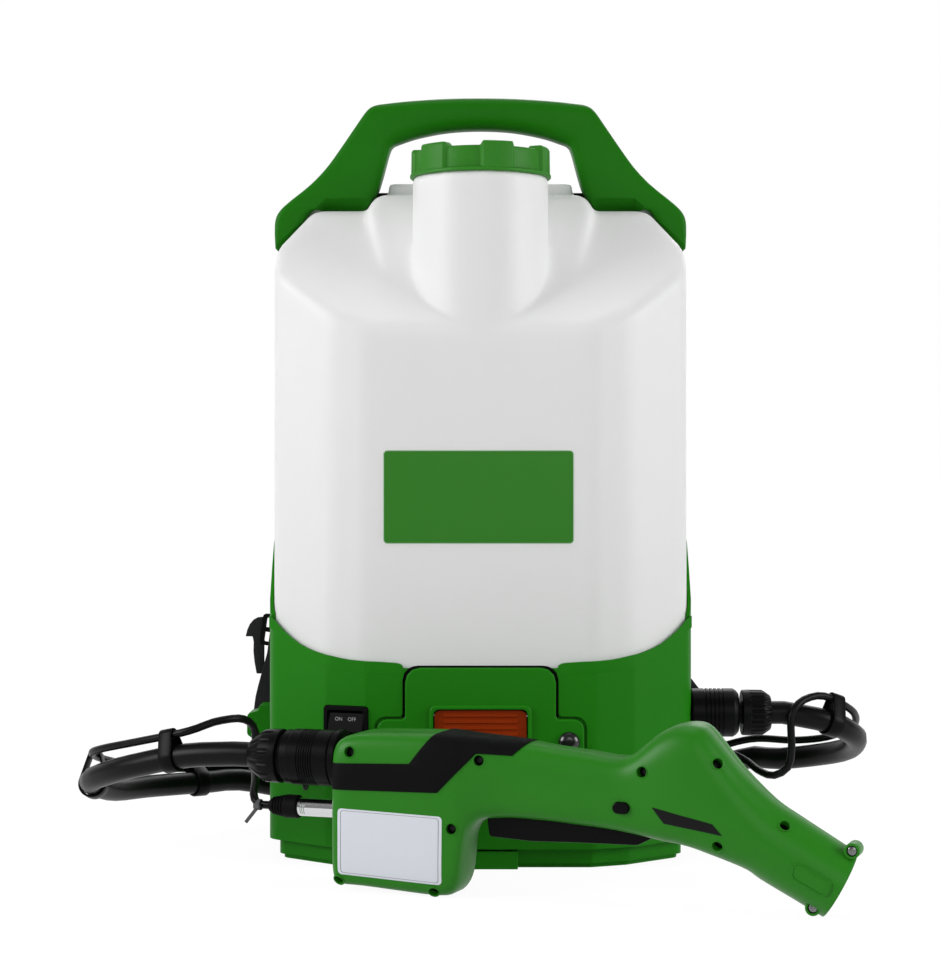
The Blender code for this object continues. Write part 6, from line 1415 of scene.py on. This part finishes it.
def grooves(first, pitch, count, radius, steps):
    """Grooves side by side round a fitting. A step is how far along its point is, and how deep."""
    return [(first + k * pitch + along, radius - deep) for k in range(count)
            for along, deep in steps]


def turned(name, profile, place, finish, node):
    """A turned fitting in its place, which stands for a CAD node."""
    return dressed(shaded(spun(name, profile, None, place), 30.0), finish, "base", node)


def ribbed_nut(name, ribs, depth, rows, place, body, node):
    """A nut about X with grooves between its ribs. A row is along, radius, share of the depth."""
    rings = []
    for along, radius, *share in rows:
        ring = []
        for k in range(ribs * 8):
            angle = 2 * math.pi * k / (ribs * 8)
            sunk = (0.8, 1.0, 0.8, 0.0, 0.0, 0.0, 0.0, 0.0)[k % 8]
            reach = radius - depth * (share[0] if share else 0.0) * sunk
            ring.append((along, reach * math.sin(angle), reach * math.cos(angle)))
        rings.append(ring)
    nut = skinned(name, rings, closed=True)
    nut.data.transform(place)
    return dressed(shaded(nut, 30.0), "black", body, node)


class SPRAYER_OT_fittings(bpy.types.Operator):
    """Turns the round fittings of the hose and the cable"""

    bl_idname = "sprayer.fittings"
    bl_label = "Fittings"

    def execute(self, context):
        gun = SPRAY @ Matrix.Translation((0.0, 0.0, SWIVEL_Z))
        start, end = -0.0317, 0.0036
        turned("swivel", [
            (-0.0540, 0.0040), (-0.0540, 0.0070), (-0.0345, 0.0070), (-0.0345, 0.0150),
            (start, 0.0150), (start, 0.0166), (start + 0.0010, 0.0177), (start + 0.0060, 0.0179),
            (start + 0.0066, 0.0184),
            *grooves(start + 0.0135, 0.0017, 7, 0.0184, ((0.0, 0.0), (0.0003, 0.0005),
                                                         (0.0008, 0.0005), (0.0011, 0.0))),
            (end - 0.0010, 0.0184), (end, 0.0176), (end, 0.0082), (0.0150, 0.0082),
            (0.0150, 0.0040)], gun, "black", "swivel_body")
        turned("collar", [
            (end + 0.0002, 0.0084), (end + 0.0002, 0.0184), (end + 0.0008, 0.0190),
            (0.0080, 0.0190), (0.0087, 0.0184), (0.0087, 0.0084)], gun, "black", "gun_collar")
        ribbed_nut("spray_nut", 14, 0.0010, (
            (-0.0573, 0.0086), (-0.0573, 0.0098), (-0.0566, 0.0106), (-0.0540, 0.0126, 0.5),
            (-0.0505, 0.0150, 1.0), (-0.0480, 0.0165, 1.0), (-0.0455, 0.0174, 1.0),
            (-0.0400, 0.0177, 1.0), (-0.0394, 0.0178), (-0.0352, 0.0178), (-0.0346, 0.0172),
            (-0.0346, 0.0086)), gun, "gun_union", "gun_nut")
        self.make_outlet()
        self.make_plug()
        return {"FINISHED"}

    def make_plug(self):
        """The bright plug of the cable and its ribbed boot."""
        cable = SPRAY @ Matrix.Translation((0.0, 0.0, PLUG_Z))
        turned("plug", [
            (-0.0240, 0.0), (-0.0240, 0.0054), (-0.0234, 0.0060),
            *grooves(-0.0205, 0.0013, 3, 0.0060, ((0.0, 0.0), (0.0003, 0.0003), (0.0006, 0.0))),
            (0.0140, 0.0060), (0.0148, 0.0054), (0.0148, 0.0)], cable, "chrome", "cable_plug")
        boot = [(-0.0440, 0.0), (-0.0440, 0.0040), (-0.0432, 0.0046)]
        for k in range(4):
            boot += grooves(-0.0418 + k * 0.0022, 0.0, 1, 0.0052 + k * 0.00045, (
                (0.0, 0.0), (0.0004, -0.0006), (0.0012, -0.0006), (0.0015, 0.0)))
        boot += [(-0.0328, 0.0072), (-0.0322, 0.0077), (-0.0236, 0.0077), (-0.0228, 0.0070),
                 (-0.0228, 0.0062), (-0.0243, 0.0062), (-0.0243, 0.0)]
        turned("boot", boot, cable, "rubber", "plug_boot")

    def make_outlet(self):
        """The outlet barrel on the base's right side, its nut, and the cable's gland."""
        outlet = Matrix.Translation(OUTLET_PLACE)
        start, end = 0.14855, 0.1806
        turned("outlet", [
            (0.1295, 0.0040), (0.1295, 0.0082), (start, 0.0082), (start, 0.0158),
            (start + 0.0010, 0.0169), (start + 0.0060, 0.0171),
            *grooves(start + 0.0092, 0.0030, 5, 0.0171, ((0.0, 0.0), (0.0004, 0.0007),
                                                         (0.0010, 0.0007), (0.0014, 0.0))),
            (end - 0.0022, 0.0171), (end, 0.0158), (end + 0.0016, 0.0140),
            (end + 0.0016, 0.0082), (0.2040, 0.0082), (0.2040, 0.0040)],
            outlet, "black", "outlet_barrel")
        ribbed_nut("tank_nut", 26, 0.0008, (
            (0.1846, 0.0086), (0.1846, 0.0152), (0.1852, 0.0160), (0.1890, 0.0162),
            (0.1900, 0.0162), (0.1908, 0.0161, 1.0), (0.1990, 0.0160, 1.0), (0.2004, 0.0153, 0.9),
            (0.2020, 0.0142, 0.4), (0.2048, 0.0122), (0.2052, 0.0114), (0.2052, 0.0086)),
            outlet, "outlet_union", "outlet_nut")
        refined("cable_gland", "gland", "black", "base", 0.0003)


class SPRAYER_OT_labels(bpy.types.Operator):
    """Lays the bare labels on the tank and on the spray handle, with nothing written on them"""

    bl_idname = "sprayer.labels"
    bl_label = "Bare labels"

    def execute(self, context):
        front = TANK_LOW[1]
        (x0, z0), (x1, z1) = TANK_LABEL
        for name, finish, inset, proud in (("tank_label_edge", "label edge", 0.0, 0.00012),
                                           ("tank_label", "label green", 0.0006, 0.00020)):
            outline = rectangle((x0 + inset, z0 + inset), (x1 - inset, z1 - inset),
                                0.0030 - inset)
            film = plate(name, outline, front - proud, front + 0.0008)
            dressed(shaded(rounded_edges(film, 0.00005, 1)), finish, "tank")
        for name, finish, outline, corner in (
                ("rating_plate", "label white", RATING_PLATE, 0.0026),
                ("name_plate", "dark film", DARK_PLATE, 0.0003)):
            put_in_gun(gun_patch(name, rounded(outline, corner, 4), 0.00022, 0.0010), finish)
        badge = gun_patch("badge", rounded(BADGE, 0.0044, 6), 0.0007, 0.0010)
        rounded_edges(badge, 0.0005, 3, 40.0)
        rim = gun_frame("rim", BADGE, (0.93, 0.0038), (0.86, 0.0034), 6, 0.0011, 0.0010)
        put_in_gun(merged("badge", [badge, rim]), "spray green")
        frame_line = gun_frame("rating_frame", RATING_PLATE, (0.945, 0.0020), (0.933, 0.0018), 4,
                               0.00026, 0.0005)
        put_in_gun(frame_line, "label line")
        return {"FINISHED"}


class SPRAYER_OT_back_frame(bpy.types.Operator):
    """Rounds the moulded back frame"""

    bl_idname = "sprayer.back_frame"
    bl_label = "Back frame"

    def execute(self, context):
        refined("back_frame", "frame_pan", "black", "base", 0.0022, 3)
        return {"FINISHED"}


class SPRAYER_OT_pads(bpy.types.Operator):
    """Swells the back pad and the shoulder pads as cloth, then sews their channels"""

    bl_idname = "sprayer.pads"
    bl_label = "Pads"

    def execute(self, context):
        swell = context.scene.sprayer_sizes.swell
        pads = {}
        for node, name, cell in (("back_pad", "pad_back", 0.0050),
                                 ("shoulder_pad_left", "pad_left", 0.0040),
                                 ("shoulder_pad_right", "pad_right", 0.0040)):
            pad = copied(node, name)
            modify(pad, "REMESH", mode="VOXEL", voxel_size=cell)
            modify(pad, "SMOOTH", factor=0.5, iterations=3)
            pads[node] = pad
        self.swell(pads.values(), swell)
        self.sew_back(pads["back_pad"])
        self.sew_strap(pads["shoulder_pad_left"])
        self.sew_strap(pads["shoulder_pad_right"])
        for node, pad in pads.items():
            modify(pad, "SUBSURF", levels=1, render_levels=1)
            dressed(shaded(pad, 80.0), "pad", "base", node)
        return {"FINISHED"}

    def swell(self, pads, most):
        """Blows the pads up a little as cloth, and keeps how far each point may move."""
        scene = bpy.context.scene
        for pad in pads:
            cloth = pad.modifiers.new("Cloth", "CLOTH")
            for name, value in CLOTH.items():
                setattr(cloth.settings, name, value)
            cloth.settings.effector_weights.gravity = 0
            cloth.collision_settings.use_collision = False
            cloth.point_cache.frame_start, cloth.point_cache.frame_end = 1, SWELL_FRAMES
        for step in range(1, SWELL_FRAMES + 1):
            scene.frame_set(step)
        graph = bpy.context.evaluated_depsgraph_get()
        for pad in pads:
            moved = [v.co.copy() for v in pad.evaluated_get(graph).data.vertices]
            pad.modifiers.clear()
            for corner, co in zip(pad.data.vertices, moved):
                step = co - corner.co
                corner.co += step * min(1.0, most / max(step.length, 1e-9))
        scene.frame_set(1)

    def sew_back(self, pad):
        """Presses the sewn channels into the back pad's outer face."""
        low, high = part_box("back_pad")
        ends = (low.z + PAD_MARGIN, high.z - PAD_MARGIN)
        for corner in pad.data.vertices:
            x, y, z = corner.co
            face = clamped((y - (low.y + high.y) / 2) / 0.008)
            away = []
            if ends[0] < z < ends[1]:
                away += [x - seam for seam in PAD_SEAMS]
            if abs(x) < PAD_SEAMS[-1] - 0.002:
                away += [z - seam for seam in ends]
            press = max((math.exp(-(each / SEAM_WIDE) ** 2) for each in away), default=0.0)
            corner.co.y = clamped(y, low.y + 0.0002, high.y + 0.0060)
            corner.co.y -= SEAM_DEEP * press * face

    def sew_strap(self, pad):
        """Presses a stitched channel along each side of a shoulder pad."""
        spine = {}
        for corner in pad.data.vertices:
            spine.setdefault(round(corner.co.z / SPINE_STEP), []).append(corner.co.x)
        rough = {k: (min(v) + max(v)) / 2 for k, v in spine.items()}
        middle = {k: (rough.get(k - 1, m) + m + rough.get(k + 1, m)) / 3
                  for k, m in rough.items()}
        for corner in pad.data.vertices:
            step = corner.co.z / SPINE_STEP
            k = math.floor(step)
            here = middle.get(k, middle.get(k + 1))
            spine_x = here + (middle.get(k + 1, here) - here) * (step - k)
            away = abs(corner.co.x - spine_x)
            press = math.exp(-((away - STITCH_AWAY) / STITCH_WIDE) ** 2)
            corner.co -= corner.normal * STITCH_DEEP * press


class SPRAYER_OT_straps(bpy.types.Operator):
    """Finishes the webbing, its buckles and its loose end, and pipes the back pad"""

    bl_idname = "sprayer.straps"
    bl_label = "Straps"

    def execute(self, context):
        for side in ("left", "right"):
            refined(f"webbing_{side}", f"web_{side}", "web", "base", 0.0004)
            refined(f"buckle_{side}", f"ladder_{side}", "black", "base", 0.0005)
        self.tuck("web_right", "ladder_right")
        self.make_tail()
        self.make_piping()
        return {"FINISHED"}

    def tuck(self, *names):
        """Draws pieces in towards the middle, most of all half way up."""
        foot, top = TUCK_SPAN
        for name in names:
            for corner in bpy.data.objects[name].data.vertices:
                along = clamped((corner.co.z - foot) / (top - foot))
                corner.co.x -= math.copysign(TUCK * math.sin(math.pi * along), corner.co.x)

    def make_tail(self):
        """The loose end of the webbing beside the left buckle."""
        low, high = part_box("buckle_left")
        depth, side = (low.y + high.y) / 2, math.copysign(1.0, low.x)
        tail = plate("web_tail", [(x * side, z) for x, z in WEB_TAIL], depth - WEB_HALF,
                     depth + WEB_HALF)
        dressed(shaded(rounded_edges(tail, 0.0004, 2)), "web", "base")

    def make_piping(self):
        """The round piping along the edge of the back pad."""
        low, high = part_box("back_pad")
        outline = rectangle((low.x - 0.0006, low.z - 0.0006), (high.x + 0.0006, high.z + 0.0006),
                            0.012, 8)
        line = [(point.x, low.y + 0.0045, point.y) for point in outline]
        piping = as_mesh(round_curve("pad_piping", line, 0.0020, 3, closed=True))
        dressed(shaded(piping, 60.0), "thread", "base")


class SPRAYER_PT_panel(bpy.types.Panel):
    """Lists the sprayer's settings and steps"""

    bl_idname = "SPRAYER_PT_panel"
    bl_label = "Sprayer"
    bl_space_type = "VIEW_3D"
    bl_region_type = "UI"
    bl_category = "Sprayer"

    def draw(self, context):
        for group in (context.scene.sprayer_colours, context.scene.sprayer_sizes):
            box = self.layout.box()
            for name in group.__annotations__:
                box.prop(group, name)
        for step in STEPS:
            self.layout.operator(step.bl_idname)


STEPS = [SPRAYER_OT_stage, SPRAYER_OT_finishes, SPRAYER_OT_hose, SPRAYER_OT_tank,
         SPRAYER_OT_cap, SPRAYER_OT_handle, SPRAYER_OT_base, SPRAYER_OT_latch,
         SPRAYER_OT_switch, SPRAYER_OT_spray_handle, SPRAYER_OT_grip, SPRAYER_OT_trigger,
         SPRAYER_OT_fittings, SPRAYER_OT_labels, SPRAYER_OT_back_frame, SPRAYER_OT_pads,
         SPRAYER_OT_straps]
CLASSES = [SprayerColours, SprayerSizes, *STEPS, SPRAYER_PT_panel]


def register():
    for kind in CLASSES:
        bpy.utils.register_class(kind)
    bpy.types.Scene.sprayer_colours = PointerProperty(type=SprayerColours)
    bpy.types.Scene.sprayer_sizes = PointerProperty(type=SprayerSizes)


def unregister():
    del bpy.types.Scene.sprayer_sizes
    del bpy.types.Scene.sprayer_colours
    for kind in reversed(CLASSES):
        bpy.utils.unregister_class(kind)


def main():
    register()
    for step in STEPS:
        group, name = step.bl_idname.split(".")
        getattr(getattr(bpy.ops, group), name)()


if __name__ == "__main__":
    main()
